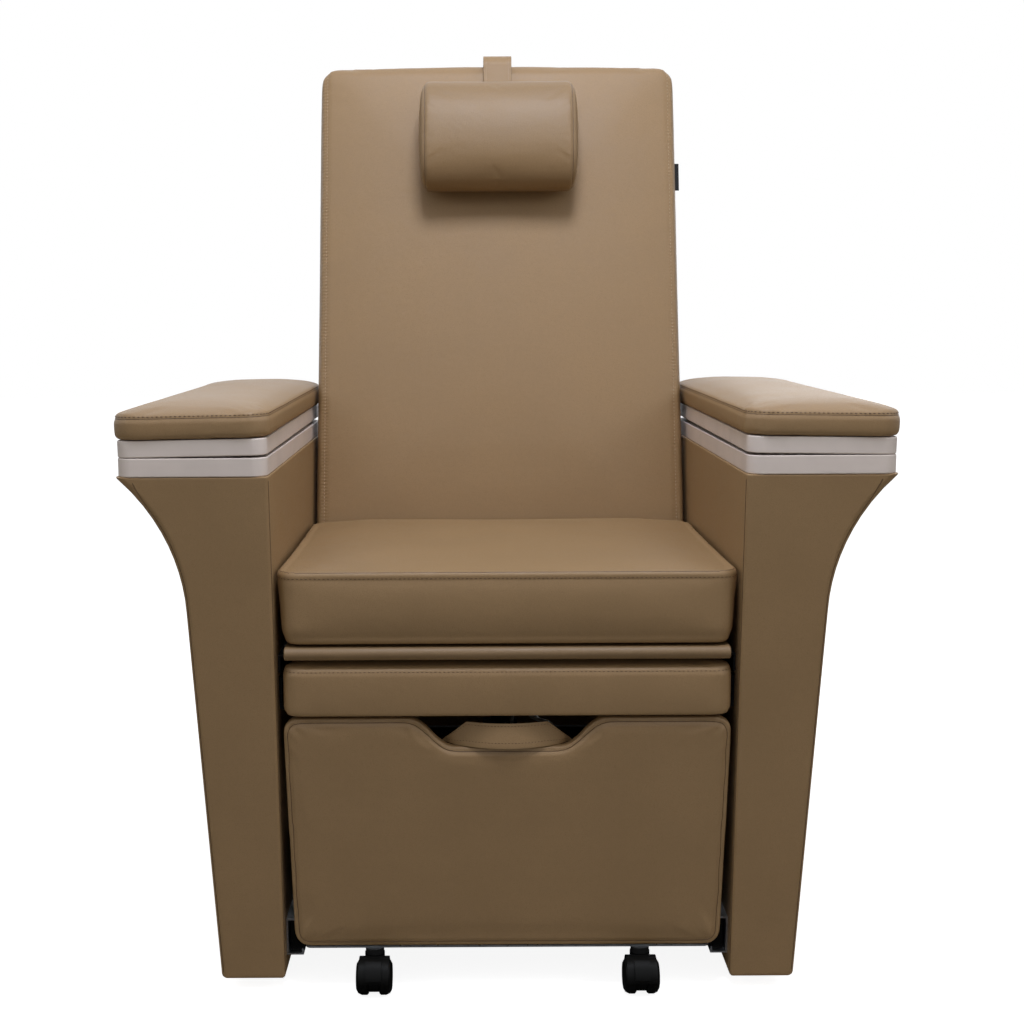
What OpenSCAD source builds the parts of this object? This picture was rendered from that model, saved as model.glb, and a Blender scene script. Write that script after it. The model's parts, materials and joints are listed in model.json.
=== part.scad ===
// Pedicure chair: two upholstered arm pods with swing-open tray lids, a padded seat,
// a pull-out leg rest, a wheeled drawer under it and a reclining back with a head pillow.
// X runs across the chair, Y from front to back and Z up from the floor.
// Sizes are worked out with the front of the arm rims at Y = 0. The finished chair is then
// moved so that the middle of its footprint lies over the origin.

/* [Arms] */
// Width of the seat cushion, which sets the space between the arms
seat_w = 616; // [560:1:680]
// Gap between the seat cushion and each arm
side_gap = 7; // [5:0.5:12]
// Length of an arm from front to back
arm_len = 690; // [640:1:740]
// Height of the leather part of an arm, where its rim starts
pod_top = 740; // [700:1:780]
// Width of an arm at its foot
pod_foot_w = 91; // [80:1:120]
// Slope of the outer side of an arm, in degrees from upright
batter = 2.8; // [1:0.1:5]
// Backward slope of the front of the arms, in degrees
rake = 4; // [1:0.1:6]
// Height of the flare under the rim
flare_h = 185; // [120:1:200]
// Radius of the flare
flare_r = 265; // [240:1:400]
// Height of the levelling glides under the arms
glide_h = 17; // [15:1:30]

/* [Trays and lids] */
// Height of the tray rim
rim_h = 25; // [18:0.5:32]
// Height of the lid rim
lid_h = 22.3; // [18:0.1:28]
// Gap between the two rims at the pivot
lid_gap = 6; // [4:0.5:10]
// Depth of the tray wells below the rim top
well_depth = 62; // [30:1:90]
// Wall of the moulded rims and wells
rim_wall = 4; // [3:0.5:6]
// Corner radius of the rims
rim_r = 20; // [12:1:26]
// Distance of the lid pivot from the inner and the rear edge of the rim
pivot_inset = 28; // [27:1:36]
// Diameter of the lid pivot pin
pin_d = 12; // [8:0.5:14]
// Height of an arm pad, with its crown
arm_pad_h = 46; // [34:1:60]
// Overhang of an arm pad past its rim
arm_pad_over = 5.4; // [3:0.2:6]

/* [Seat] */
// Height of the underside of the seat cushion
seat_z = 505; // [490:1:520]
// Height of the seat cushion at its edges
seat_h = 103; // [80:1:120]
// Rise of the seat cushion's middle above its edges
seat_crown = 10; // [4:0.5:14]
// Distance of the seat front from the rim front
seat_front = 14; // [8:1:40]
// Thickness of the seat board
board_t = 18; // [12:0.5:20]

/* [Back] */
// Lean of the back from upright, in degrees
lean = 12.5; // [8:0.5:16]
// Gap between the back and each arm
back_gap = 11; // [9:0.5:40]
// Length of the back cushion
back_len = 831; // [780:1:880]
// Thickness of the back cushion
back_t = 60; // [50:1:70]
// Rise of the back cushion's middle above its edges
back_crown = 12; // [6:0.5:14]
// Depth of the shell behind the cushion
back_shell_d = 35; // [28:1:45]
// Distance of the recline shaft from the rear end of the arms
shaft_inset = 133; // [120:1:140]
// Height of the recline shaft
shaft_z = 530; // [525:1:540]
// Diameter of the recline shaft
shaft_d = 22; // [18:1:25]

/* [Head pillow] */
// Width of the head pillow
pillow_w = 264; // [200:1:300]
// Length of the head pillow along the back
pillow_len = 183; // [140:1:200]
// Thickness of the head pillow
pillow_t = 92; // [70:1:100]
// Distance of the pillow's middle from the top of the back
pillow_drop = 145; // [124:1:200]
// Width of the pillow strap
strap_w = 48; // [30:1:60]

/* [Leg rest] */
// Gap between the drawer front and the leg rest cushion over it
rest_gap = 1.3; // [1:0.1:10]
// Gap between the leg rest cushion and the seat board over it
rest_top_gap = 4.5; // [3:0.5:12]
// Distance of the leg rest cushion from the rear ends of the arms
rest_inset = 350; // [334:1:394]
// Height of a telescopic runner
runner_h = 45; // [35:1:46]

/* [Drawer] */
// Height of the underside of the drawer front
front_z = 65; // [62:1:75]
// Height of the drawer front
front_h = 340; // [320:1:344]
// Thickness of the drawer front
front_t = 22; // [16:1:26]
// Corner radius of the drawer front
front_r = 21; // [10:1:30]
// Narrowing of the drawer front from top to bottom, on each side
front_taper = 7; // [0:0.5:10]
// Width of the hand cut-out at the top edge
dip_w = 262; // [220:1:300]
// Depth of the hand cut-out
dip_h = 42; // [30:1:52]
// Height of the drawer walls
wall_h = 175; // [120:1:190]
// Gap between the drawer and the beam behind it
drawer_rear = 36; // [30:1:110]

/* [Casters] */
// Diameter of a caster wheel
wheel_d = 50; // [44:1:51]
// Width over both wheels of a caster
caster_w = 50; // [40:1:54]
// Distance of a caster from the chair's centre line
caster_x = 188; // [140:1:210]
// Distance of the caster wheel's axle from its swivel axis
trail = 18; // [14:0.5:20]

/* [Recline drive] */
// Distance of the actuator's push point from the recline shaft
lever_r = 70; // [64:1:74]
// Diameter of the actuator tube
tube_d = 38; // [30:1:42]
// Greatest recline beyond the rest position, in degrees
recline = 35; // [25:1:40]

/* [Hidden] */

// Overrun of every cut, least gap between soft parts and gap of a sliding or turning fit
over = 1;
soft_gap = 0.3;
fit = 0.05;
slide_gap = 0.6;
$fn = 48;

// Colours
leather_c = [0.42, 0.34, 0.24];
leather_light_c = [0.62, 0.53, 0.43];
rim_c = [0.8, 0.78, 0.77];
steel_c = [0.75, 0.75, 0.76];
dark_c = [0.09, 0.09, 0.08];
ply_c = [0.76, 0.62, 0.42];
nylon_c = [0.16, 0.16, 0.16];
grey_c = [0.5, 0.5, 0.5];

// Arms: where the pods, rims and lids lie
pod_in = seat_w / 2 + side_gap;
rim_step = 2;
lip_step = 4.9;
foot_fillet = 6;
pod_r_top = 17;
pod_r_foot = 9;
pod_r_in = 5;
flare_z = pod_top - flare_h;
foot_out = pod_in + pod_foot_w;
flare_x = foot_out + (flare_z - glide_h) * tan(batter);
pod_rear = arm_len - lip_step;
rim_in = pod_in + rim_step;
rim_out = pod_out(pod_top) - lip_step;
rim_top = pod_top + rim_h;
pivot_x = rim_in + pivot_inset;
pivot_y = arm_len - pivot_inset;
lid_z = rim_top + lid_gap;
// Share of the rims' height and width by which the lids hang down at the front and outside
droop_front_share = 0.0045;
droop_side_share = 0.015;
droop_front = atan(droop_front_share);
droop_side = atan(droop_side_share);

// Outer side of a pod at height z, upright to the batter and then round the flare
function pod_out(z) = z < flare_z ? foot_out + (z - glide_h) * tan(batter)
  : flare_x + flare_r * (cos(batter) - cos(asin(sin(batter) + (z - flare_z) / flare_r)));
// Front of a pod, and of all that lies flush with it, at height z
function pod_front(z) = (pod_top - z) * tan(rake);
// Corner radius at the pod's outer front, larger towards the rim
function pod_r(z) = z < flare_z ? pod_r_foot
  : pod_r_foot + (pod_r_top - pod_r_foot) * (z - flare_z) / flare_h;

// Seat, back and the frame that they stand on
seat_clear = 13;
rail_t = 3;
rail_leg = 25;
beam_w = 25;
board_step = 6;
back_side = pod_in - back_gap;
back_w = 2 * back_side;
shell_wall = 4;
back_board_t = 15;
back_start = 20;
back_r = 30;
back_arch = 7;
shaft_y = arm_len - shaft_inset;
// Front plane of the back over the seat: its foot point nearest to the shaft
back_face = 58.2;
back_y = shaft_y - back_face * cos(lean);
back_z = shaft_z + back_face * sin(lean);
back_end = back_start + back_len;
shell_rear = back_t + back_shell_d;
// Depth of the seat at a given height, where it meets the leaning back
function seat_rear(z) = back_y + (z - back_z) * tan(lean) - seat_clear / cos(lean);
front_y = -arm_pad_over;
rear_y = back_y + (back_end + back_arch) * sin(lean) + shell_rear * cos(lean);
mid_y = (front_y + rear_y) / 2;

// Recline drive: the crossbar pushed by the rod, and the clevis on the rear beam
lever_rest = 62;
bar_d = 16;
bar_gap = 2.8;
lever_y = shaft_y + lever_r * sin(lever_rest);
lever_z = shaft_z + lever_r * cos(lever_rest);
lever_end_y = shaft_y + lever_r * sin(lever_rest + recline);
lever_end_z = shaft_z + lever_r * cos(lever_rest + recline);
beam_inset = 78;
beam_y = arm_len - beam_inset;
beam_z = 92;
beam_h = 40;
clevis_z = beam_z + beam_h + rail_leg;
clevis_y = beam_y;
clevis_pin_d = 10;
rod_lean = atan((lever_y - clevis_y) / (lever_z - clevis_z));
rod_len = norm([lever_y - clevis_y, lever_z - clevis_z]);
rod_len_end = norm([lever_end_y - clevis_y, lever_end_z - clevis_z]);
rod_lean_end = atan((lever_end_y - clevis_y) / (lever_end_z - clevis_z));

// Drawer and its rails
drawer_gap = 2;
rail_z = 43;
rail_h = 54;
rail_d = 24;
rail_front = 74;
drawer_end = beam_y - beam_h / 2 - drawer_rear;
base_t = 3;
base_r = 8;
base_inset = 7;
wall_t = 12;
wall_gap = 5;
wall_half = pod_in - rail_d - wall_gap;
floor_t = 10;
base_z = front_z - base_t;
caster_front = 60;
caster_inset = 56;
caster_rear = drawer_end - caster_inset;
box_front = pod_front(front_z) + front_t / cos(rake) + drawer_gap;

// Leg rest cushion: from just over the drawer front to just under the seat board
rest_crown = 2.5;
rest_z = front_z + front_h * cos(rake) + front_t * sin(rake) + rest_gap;
rest_h = seat_z - board_t - rest_top_gap - rest_crown - rest_z;

// Solid through rings of as many points each, closed flat at its first and last ring
module skin(rings) {
  n = len(rings[0]);
  last = len(rings) - 1;
  sides = [for (j = [0:last - 1]) for (i = [0:n - 1])
    let (a = j * n + i, b = j * n + (i + 1) % n)
    each [[a, a + n, b + n], [a, b + n, b]]];
  polyhedron([for (ring = rings) each ring],
    concat([[for (i = [0:n - 1]) i]], sides, [[for (i = [n - 1:-1:0]) last * n + i]]));
}

// Quarter arc of m + 1 points about a centre, from angle a0 on
function quarter(c, r, a0, m) = [for (i = [0:m])
  [c.x + r * cos(a0 + 90 * i / m), c.y + r * sin(a0 + 90 * i / m)]];

// Rectangle from corner a to corner b with radii for its corners: front left, front right,
// rear right and rear left, m steps each
function rounded(a, b, r, m = 6) = concat(
  quarter([b.x - r[1], a.y + r[1]], r[1], -90, m), quarter([b.x - r[2], b.y - r[2]], r[2], 0, m),
  quarter([a.x + r[3], b.y - r[3]], r[3], 90, m), quarter([a.x + r[0], a.y + r[0]], r[0], 180, m));

// Same rectangle with true round corners, and a plate of it
module outline(a, b, r) {
  polygon([[a.x + r[0], a.y], [b.x - r[1], a.y], [b.x, a.y + r[1]], [b.x, b.y - r[2]],
    [b.x - r[2], b.y], [a.x + r[3], b.y], [a.x, b.y - r[3]], [a.x, a.y + r[0]]]);
  translate([a.x + r[0], a.y + r[0]]) circle(r[0]);
  translate([b.x - r[1], a.y + r[1]]) circle(r[1]);
  translate([b.x - r[2], b.y - r[2]]) circle(r[2]);
  translate([a.x + r[3], b.y - r[3]]) circle(r[3]);
}
module plate(a, b, r, h) { linear_extrude(h) outline(a, b, r); }

// Cushion outline with half sizes a and b, corner radius r and its sides right, rear, left and
// front drawn in by the lengths in pull
function cushion_ring(a, b, r, pull, z, k = 5, m = 5) = [for (s = [0:3])
  let (along = s % 2 == 0 ? b : a, off = s % 2 == 0 ? a : b, h = along - r)
  for (i = [0:k + m - 1])
  let (p = i < k ? [off - pull[s] * sin(180 * i / k), (2 * i / k - 1) * h]
    : [off - r + r * cos(90 * (i - k) / m), h + r * sin(90 * (i - k) / m)])
  s == 0 ? [p.x, p.y, z] : s == 1 ? [-p.y, p.x, z] : s == 2 ? [-p.x, -p.y, z] : [p.y, -p.x, z]];

// Cushion standing on z = 0 about its middle: rounded lower edge, upright sides, rounded upper
// edge and a crown that rises to the middle
crown_shares = [0.12, 0.3, 0.55, 0.85];
module cushion(w, d, h, crown, r, low_r, top_r, pull) {
  a = w / 2;
  b = d / 2;
  least = min(a, b);
  low = [for (t = [0:30:90]) [low_r * (1 - sin(t)), low_r * (1 - cos(t))]];
  top = [for (t = [0:30:90]) [top_r * (1 - cos(t)), h - top_r * (1 - sin(t))]];
  dome = [for (s = crown_shares) [top_r + (least - top_r) * s, h + crown * sin(90 * s / 0.85)]];
  skin([for (p = concat(low, top, dome))
    cushion_ring(a - p.x, b - p.x, max(r - p.x, r / 3) * min(1, (least - p.x) / r), pull, p.y)]);
}

// Puts the finished chair's middle over the origin
module placed() { translate([0, -mid_y, 0]) children(); }

// Same thing on both sides, or on the left one only
module both_sides() {
  children();
  mirror([1, 0, 0]) children();
}

// Frame of the leaning back: X across, Y up along its front plane, Z out of it to the front
module on_back() { translate([0, back_y, back_z]) rotate([90 - lean, 0, 0]) children(); }

// Arm pod: raked front, battered outer side with its flare, rounded foot and lip.
// A pocket in its top takes the tray wells, and inserts in its foot take the glides.
glide_x = pod_in + pod_foot_w / 2;
glide_inset = 85;
glide_ys = [pod_front(glide_h) + glide_inset, pod_rear - glide_inset];
stem_d = 10;
stem_in = 30;
least_r = 1.5;
function pod_ring(z, e) = let (r = max(pod_r(z) - e, least_r), ri = max(pod_r_in - e, least_r))
  [for (p = rounded([pod_in + e, pod_front(z) + e], [pod_out(z) - e, pod_rear - e], [ri, r, r, ri], 5))
    [p.x, p.y, z]];
module pod() {
  low = [for (t = [0:30:90]) [foot_fillet * (1 - cos(90 - t)), glide_h + foot_fillet * (1 - cos(t))]];
  flare_steps = 10;
  lip_r = foot_fillet / 2;
  rise = flare_h - lip_r;
  color(leather_c) difference() {
    skin(concat(
      [for (p = low) pod_ring(p.y, p.x)],
      [for (i = [0:flare_steps]) pod_ring(flare_z + rise * i / flare_steps, 0)],
      [for (t = [45, 90]) pod_ring(pod_top - lip_r * (1 - sin(t)), lip_r * (1 - cos(t)))]));
    translate([0, 0, rim_top - well_depth - rim_wall - soft_gap])
      plate([well_x0 - rim_wall - slide_gap, well_y0 - rim_wall - slide_gap],
        [well_x1 + rim_wall + slide_gap, well_y1 + rim_wall + slide_gap],
        [for (i = [0:3]) well_r + rim_wall], well_depth);
    for (y = glide_ys)
      translate([glide_x, y, glide_h - over]) cylinder(d = stem_d + 2 * fit, h = stem_in + 2 * over);
  }
}
module right_pod() { placed() pod(); }
module left_pod() { placed() mirror([1, 0, 0]) pod(); }

// Tray: moulded rim, open underneath, with a short and a long well for tools and polish
well_edge = 24;
well_r = 22;
well_gap = 26;
well_x0 = rim_in + well_edge;
pod_wall = 12;
well_x1 = min(rim_out - well_edge, pod_out(rim_top - well_depth - rim_wall) - pod_wall - rim_wall);
well_y0 = well_edge + pod_front(rim_top - well_depth);
well_y1 = arm_len - 2 * pivot_inset - well_gap;
well_split_share = 0.38;
well_mid = well_y0 + (well_y1 - well_y0) * well_split_share;
function well_spans() = [[well_y0, well_mid - well_gap / 2], [well_mid + well_gap / 2, well_y1]];
function rim_radii() = [rim_r, rim_r, rim_r, pivot_inset];
boss_wall = 9;
boss_d = pin_d + 2 * boss_wall;
module tray() {
  floor_z = rim_top - well_depth;
  all_r = [for (i = [0:3]) well_r];
  skirt = [for (i = [0:3]) rim_r - rim_wall];
  color(rim_c) difference() {
    union() {
      difference() {
        translate([0, 0, pod_top]) plate([rim_in, 0], [rim_out, arm_len], rim_radii(), rim_h);
        translate([0, 0, pod_top - over])
          plate([rim_in + rim_wall, rim_wall], [rim_out - rim_wall, arm_len - rim_wall],
            skirt, rim_h - rim_wall + over);
      }
      for (s = well_spans())
        translate([0, 0, floor_z - rim_wall])
          plate([well_x0 - rim_wall, s[0] - rim_wall], [well_x1 + rim_wall, s[1] + rim_wall],
            [for (i = [0:3]) well_r + rim_wall], well_depth + rim_wall - rim_wall / 2);
      translate([pivot_x, pivot_y, pod_top]) cylinder(d = boss_d, h = rim_h - rim_wall / 2);
    }
    for (s = well_spans())
      translate([0, 0, floor_z]) plate([well_x0, s[0]], [well_x1, s[1]], all_r, well_depth + over);
    translate([pivot_x, pivot_y, pod_top - over]) cylinder(d = pin_d + 2 * fit, h = rim_h + 2 * over);
  }
}
module right_tray() { placed() tray(); }
module left_tray() { placed() mirror([1, 0, 0]) tray(); }

// Pivot pin of a lid, standing in the tray, with a groove at its top for a retaining ring
ring_h = 1.6;
ring_deep = 0.8;
ring_wall = 3.5;
ring_d = pin_d + 2 * ring_wall;
pin_end = 1.5;
bush_wall = 3;
pin_top = lid_z + lid_h - rim_wall - slide_gap;
ring_z = pin_top - ring_h - pin_end;
module lid_pins() {
  placed() both_sides() color(steel_c) translate([pivot_x, pivot_y, 0]) difference() {
    translate([0, 0, pod_top]) cylinder(d = pin_d, h = pin_top - pod_top);
    translate([0, 0, ring_z]) difference() {
      cylinder(d = pin_d + over, h = ring_h);
      cylinder(d = pin_d - 2 * ring_deep, h = ring_h);
    }
  }
}

// Thrust washer between the rims, which shows as a bright line in the gap at the rear
washer_wall = 7;
washer_d = pin_d + 2 * washer_wall;
module lid_washers() {
  placed() both_sides() color(steel_c) translate([pivot_x, pivot_y, rim_top]) difference() {
    cylinder(d = washer_d, h = lid_gap - fit);
    translate([0, 0, -over]) cylinder(d = pin_d + 2 * fit, h = lid_gap + 2 * over);
  }
}

// Retaining ring in the pin's groove, over the bush
module lid_pin_rings() {
  placed() both_sides() color(steel_c) translate([pivot_x, pivot_y, ring_z + fit]) difference() {
    cylinder(d = ring_d, h = ring_h - 2 * fit);
    translate([0, 0, -over]) cylinder(d = pin_d - 2 * ring_deep + 2 * fit, h = ring_h + 2 * over);
  }
}

// Frame of a lid, which hangs down a little at its front and its outer side
module lid_tilt() {
  translate([pivot_x, pivot_y, lid_z]) rotate([droop_front, droop_side, 0])
    translate([-pivot_x, -pivot_y, 0]) children();
}

// Lid rim: moulded shell, open underneath, with ribs across it and a boss for the bush
rib_t = 3;
rib_count = 4;
bush_d = pin_d + 2 * bush_wall;
module lid() {
  skirt = [for (i = [0:3]) rim_r - rim_wall];
  color(rim_c) difference() {
    union() {
      lid_tilt() difference() {
        plate([rim_in, 0], [rim_out, arm_len], rim_radii(), lid_h);
        difference() {
          translate([0, 0, -over])
            plate([rim_in + rim_wall, rim_wall], [rim_out - rim_wall, arm_len - rim_wall],
              skirt, lid_h - rim_wall + over);
          for (i = [1:rib_count])
            translate([rim_in, pivot_y * i / (rib_count + 1) - rib_t / 2, rib_t])
              cube([rim_out - rim_in, rib_t, lid_h]);
        }
      }
      translate([pivot_x, pivot_y, lid_z + fit]) cylinder(d = boss_d, h = lid_h - rim_wall / 2);
    }
    translate([pivot_x, pivot_y, lid_z - over]) cylinder(d = bush_d, h = ring_z - lid_z + over);
    translate([pivot_x, pivot_y, ring_z - 2 * fit])
      cylinder(d = ring_d + 2 * slide_gap, h = pin_top - ring_z + slide_gap);
  }
}
module right_lid() { placed() lid(); }
module left_lid() { placed() mirror([1, 0, 0]) lid(); }

// Plain bush pressed into the lid's boss, turning on the pin
module bush() {
  bush_h = ring_z - lid_z - 4 * fit;
  color(nylon_c) translate([pivot_x, pivot_y, lid_z + fit]) difference() {
    cylinder(d = bush_d, h = bush_h);
    translate([0, 0, -over]) cylinder(d = pin_d + 2 * fit, h = bush_h + 2 * over);
  }
}
module right_bush() { placed() bush(); }
module left_bush() { placed() mirror([1, 0, 0]) bush(); }

// Arm pad: padded board on the lid, with a crown and drawn-in sides
pad_low_r = 5;
pad_top_r = 10;
pad_crown = 8;
pad_pull = 1.5;
module arm_pad() {
  w = rim_out - rim_in + 2 * arm_pad_over;
  d = arm_len + 2 * arm_pad_over;
  color(leather_light_c) lid_tilt()
    translate([(rim_in + rim_out) / 2, arm_len / 2, lid_h + soft_gap])
      cushion(w, d, arm_pad_h - pad_crown, pad_crown, pivot_inset + arm_pad_over, pad_low_r,
        pad_top_r, [for (i = [0:3]) pad_pull]);
}
module right_arm_pad() { placed() arm_pad(); }
module left_arm_pad() { placed() mirror([1, 0, 0]) arm_pad(); }

// Levelling glides: a pad and a stem in the pod's foot, two under each arm
glide_d = 40;
glide_pad_h = 12;
glide_edge = 2;
module levelling_glides() {
  placed() both_sides() color(dark_c) for (y = glide_ys) translate([glide_x, y, 0]) {
    rotate_extrude() polygon([[0, 0], [glide_d / 2 - glide_edge, 0], [glide_d / 2, glide_edge],
      [glide_d / 2, glide_pad_h / 2], [stem_d, glide_pad_h], [stem_d / 2, glide_pad_h],
      [stem_d / 2, glide_h + stem_in], [0, glide_h + stem_in]]);
  }
}

// Drawer rails: lipped channels on the inner faces of the pods
channel_t = 2.4;
channel_lip = 9;
module drawer_rails() {
  placed() both_sides() color(steel_c) translate([pod_in, drawer_end, rail_z]) rotate([90, 0, 0])
    linear_extrude(drawer_end - rail_front) difference() {
      translate([-rail_d, 0]) square([rail_d, rail_h]);
      translate([channel_t - rail_d, channel_t]) square([rail_d - 2 * channel_t, rail_h - 2 * channel_t]);
      translate([-rail_d - over, channel_lip])
        square([channel_t + 2 * over, rail_h - 2 * channel_lip]);
    }
}

// Screws that hold the rails: domed heads on the web
screw_d = 9;
screw_h = 2.4;
screw_count = 3;
module rail_screws() {
  span = drawer_end - rail_front;
  placed() both_sides() color(steel_c) for (i = [0:screw_count - 1])
    translate([pod_in - channel_t, rail_front + span * (i + 1 / 2) / screw_count, rail_z + rail_h / 2])
      rotate([0, -90, 0]) intersection() {
        cylinder(d = screw_d, h = screw_h);
        translate([0, 0, screw_h - screw_d]) sphere(screw_d);
      }
}

// Rear beam between the pods: a square tube, with the clevis for the actuator welded on.
// The clevis cheeks are bored for the actuator's lower pin.
beam_t = 2;
cheek_t = 5;
cheek_r = 14;
clevis_gap = 20;
module clevis() {
  difference() {
    union() {
      translate([-clevis_gap / 2 - cheek_t, clevis_y - cheek_r, beam_z + beam_h - beam_t])
        cube([clevis_gap + 2 * cheek_t, 2 * cheek_r, cheek_t]);
      for (x = [-clevis_gap / 2 - cheek_t, clevis_gap / 2]) translate([x, 0, 0]) {
        translate([0, clevis_y - cheek_r, beam_z + beam_h - beam_t])
          cube([cheek_t, 2 * cheek_r, rail_leg + beam_t]);
        translate([0, clevis_y, clevis_z]) rotate([0, 90, 0]) cylinder(r = cheek_r, h = cheek_t);
      }
    }
    translate([-clevis_gap, clevis_y, clevis_z]) rotate([0, 90, 0])
      cylinder(d = clevis_pin_d + 2 * fit, h = 2 * clevis_gap);
  }
}
module rear_beam() {
  placed() color(dark_c) {
    difference() {
      translate([-pod_in, beam_y - beam_h / 2, beam_z]) cube([2 * pod_in, beam_h, beam_h]);
      translate([-pod_in - over, beam_y - beam_h / 2 + beam_t, beam_z + beam_t])
        cube([2 * (pod_in + over), beam_h - 2 * beam_t, beam_h - 2 * beam_t]);
    }
    clevis();
  }
}
clevis_head = 2;
module clevis_pin() {
  half = clevis_gap / 2 + cheek_t + clevis_head;
  placed() color(steel_c) translate([0, clevis_y, clevis_z]) rotate([0, 90, 0]) {
    translate([0, 0, -half]) cylinder(d = clevis_pin_d, h = 2 * half);
    translate([0, 0, -half - clevis_head]) cylinder(d = clevis_pin_d + 2 * clevis_head, h = clevis_head);
  }
}

// Seat rails: angles on the pods that carry the seat board
seat_end = seat_rear(seat_z) + seat_clear;
rail_inset = 40;
module seat_rails() {
  top = seat_z - board_t;
  placed() both_sides() color(steel_c) {
    translate([pod_in - rail_t, seat_front + rail_inset, top - rail_leg])
      cube([rail_t, seat_end - seat_front - rail_inset, rail_leg]);
    translate([pod_in - rail_leg, seat_front + rail_inset, top - rail_t])
      cube([rail_leg, seat_end - seat_front - rail_inset, rail_t]);
  }
}

// Seat beam: square tube across the rear of the seat, between the rails
module seat_beam() {
  half = pod_in - rail_leg;
  placed() color(steel_c) translate([0, seat_end - beam_w, seat_z - board_t - beam_w]) difference() {
    translate([-half, 0, 0]) cube([2 * half, beam_w, beam_w]);
    translate([-half - over, beam_t, beam_t])
      cube([2 * (half + over), beam_w - 2 * beam_t, beam_w - 2 * beam_t]);
  }
}

// Seat board: thin upholstered board with a rounded front edge
module seat_board() {
  half = seat_w / 2 - board_step;
  r = board_t / 2;
  placed() color(leather_c) translate([0, 0, seat_z - board_t]) union() {
    translate([-half, seat_front + r, 0]) cube([2 * half, seat_end - seat_front - r, board_t]);
    translate([-half, seat_front + r, r]) rotate([0, 90, 0]) cylinder(r = r, h = 2 * half);
  }
}

// Seat cushion: its rear is cut parallel with the back
seat_r = 26;
seat_low_r = 22;
seat_top_r = 9;
seat_pull = 2;
module seat_cushion() {
  rear_top = seat_rear(seat_z + seat_h);
  depth = rear_top - seat_front + back_t;
  placed() color(leather_c) difference() {
    translate([0, seat_front + depth / 2, seat_z + soft_gap])
      cushion(seat_w, depth, seat_h, seat_crown, seat_r, seat_low_r, seat_top_r,
        [seat_pull, 0, seat_pull, 0]);
    on_back() translate([-seat_w, -back_len, seat_clear - 2 * seat_w])
      cube([2 * seat_w, 2 * back_len, 2 * seat_w]);
  }
}

// Rear panel between the pods
panel_t = 12;
panel_y = pod_rear - panel_t - rim_step;
panel_z = 60;
module rear_panel() {
  half = pod_in - soft_gap;
  placed() color(leather_c) translate([0, panel_y, panel_z]) rotate([90, 0, 0]) mirror([0, 0, 1])
    plate([-half, 0], [half, seat_z - panel_z - rail_leg], [for (i = [0:3]) rim_r], panel_t);
}

// Recline shaft between the pods, with a flange at each end
flange_d = 52;
flange_t = 4;
module recline_shaft() {
  placed() color(steel_c) translate([0, shaft_y, shaft_z]) rotate([0, 90, 0]) {
    translate([0, 0, -pod_in]) cylinder(d = shaft_d, h = 2 * pod_in);
    for (x = [-pod_in, pod_in - flange_t]) translate([0, 0, x]) cylinder(d = flange_d, h = flange_t);
  }
}

// Leg rest: its front, and its depth up to its distance from the rear of the arms
rest_front = 16;
rest_len = arm_len - rest_inset - rest_front;

// Telescopic runners of the leg rest: three channels, each inside the last
runner_t = 12.7;
runner_wall = 1.5;
runner_lift = 2;
runner_z = rest_z + runner_lift;
runner_front = 60;
runner_short = 40;
runner_len = rest_len - runner_short;
// Channel with its web at x = 0 and its flanges towards +X
module channel(w, h, t, length) {
  translate([0, length, 0]) rotate([90, 0, 0]) linear_extrude(length) difference() {
    square([w, h]);
    translate([t, t]) square([w, h - 2 * t]);
  }
}
runner_step = runner_wall + slide_gap;
module runner_outers() {
  placed() both_sides() color(steel_c) translate([pod_in, runner_front, runner_z])
    mirror([1, 0, 0]) channel(runner_t - runner_wall, runner_h, runner_wall, runner_len);
}
module runner_middles() {
  placed() both_sides() color(steel_c)
    translate([pod_in - runner_step, runner_front, runner_z + runner_step]) mirror([1, 0, 0])
      channel(runner_t - runner_wall - runner_step, runner_h - 2 * runner_step, runner_wall, runner_len);
}
module runner_inners() {
  placed() both_sides() color(steel_c)
    translate([pod_in - runner_t, runner_front, runner_z + 2 * runner_step])
      channel(runner_t - 2 * runner_step, runner_h - 4 * runner_step, runner_wall, runner_len);
}

// Plates on the runners, with a foot under the leg rest board
rest_plate_t = 2.5;
rest_foot = 30;
rest_lift = 1.6;
rest_half = pod_in - runner_t;
rest_board_t = 12;
module rest_plates() {
  h = runner_z - rest_z + runner_h - 2 * runner_step;
  placed() both_sides() color(steel_c) {
    translate([rest_half - rest_plate_t, runner_front, rest_z + rest_lift])
      cube([rest_plate_t, runner_len, h]);
    translate([rest_half - rest_foot, runner_front, rest_z + rest_lift])
      cube([rest_foot, runner_len, rest_plate_t]);
  }
}

// Leg rest board, inside the pocket under the cushion
rest_rim = 22;
module rest_board() {
  half = rest_half - rest_plate_t;
  placed() color(ply_c)
    translate([-half + rest_rim, rest_front + rest_rim, rest_z + rest_lift + rest_plate_t])
      cube([2 * (half - rest_rim), rest_len - 2 * rest_rim, rest_board_t]);
}

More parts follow.
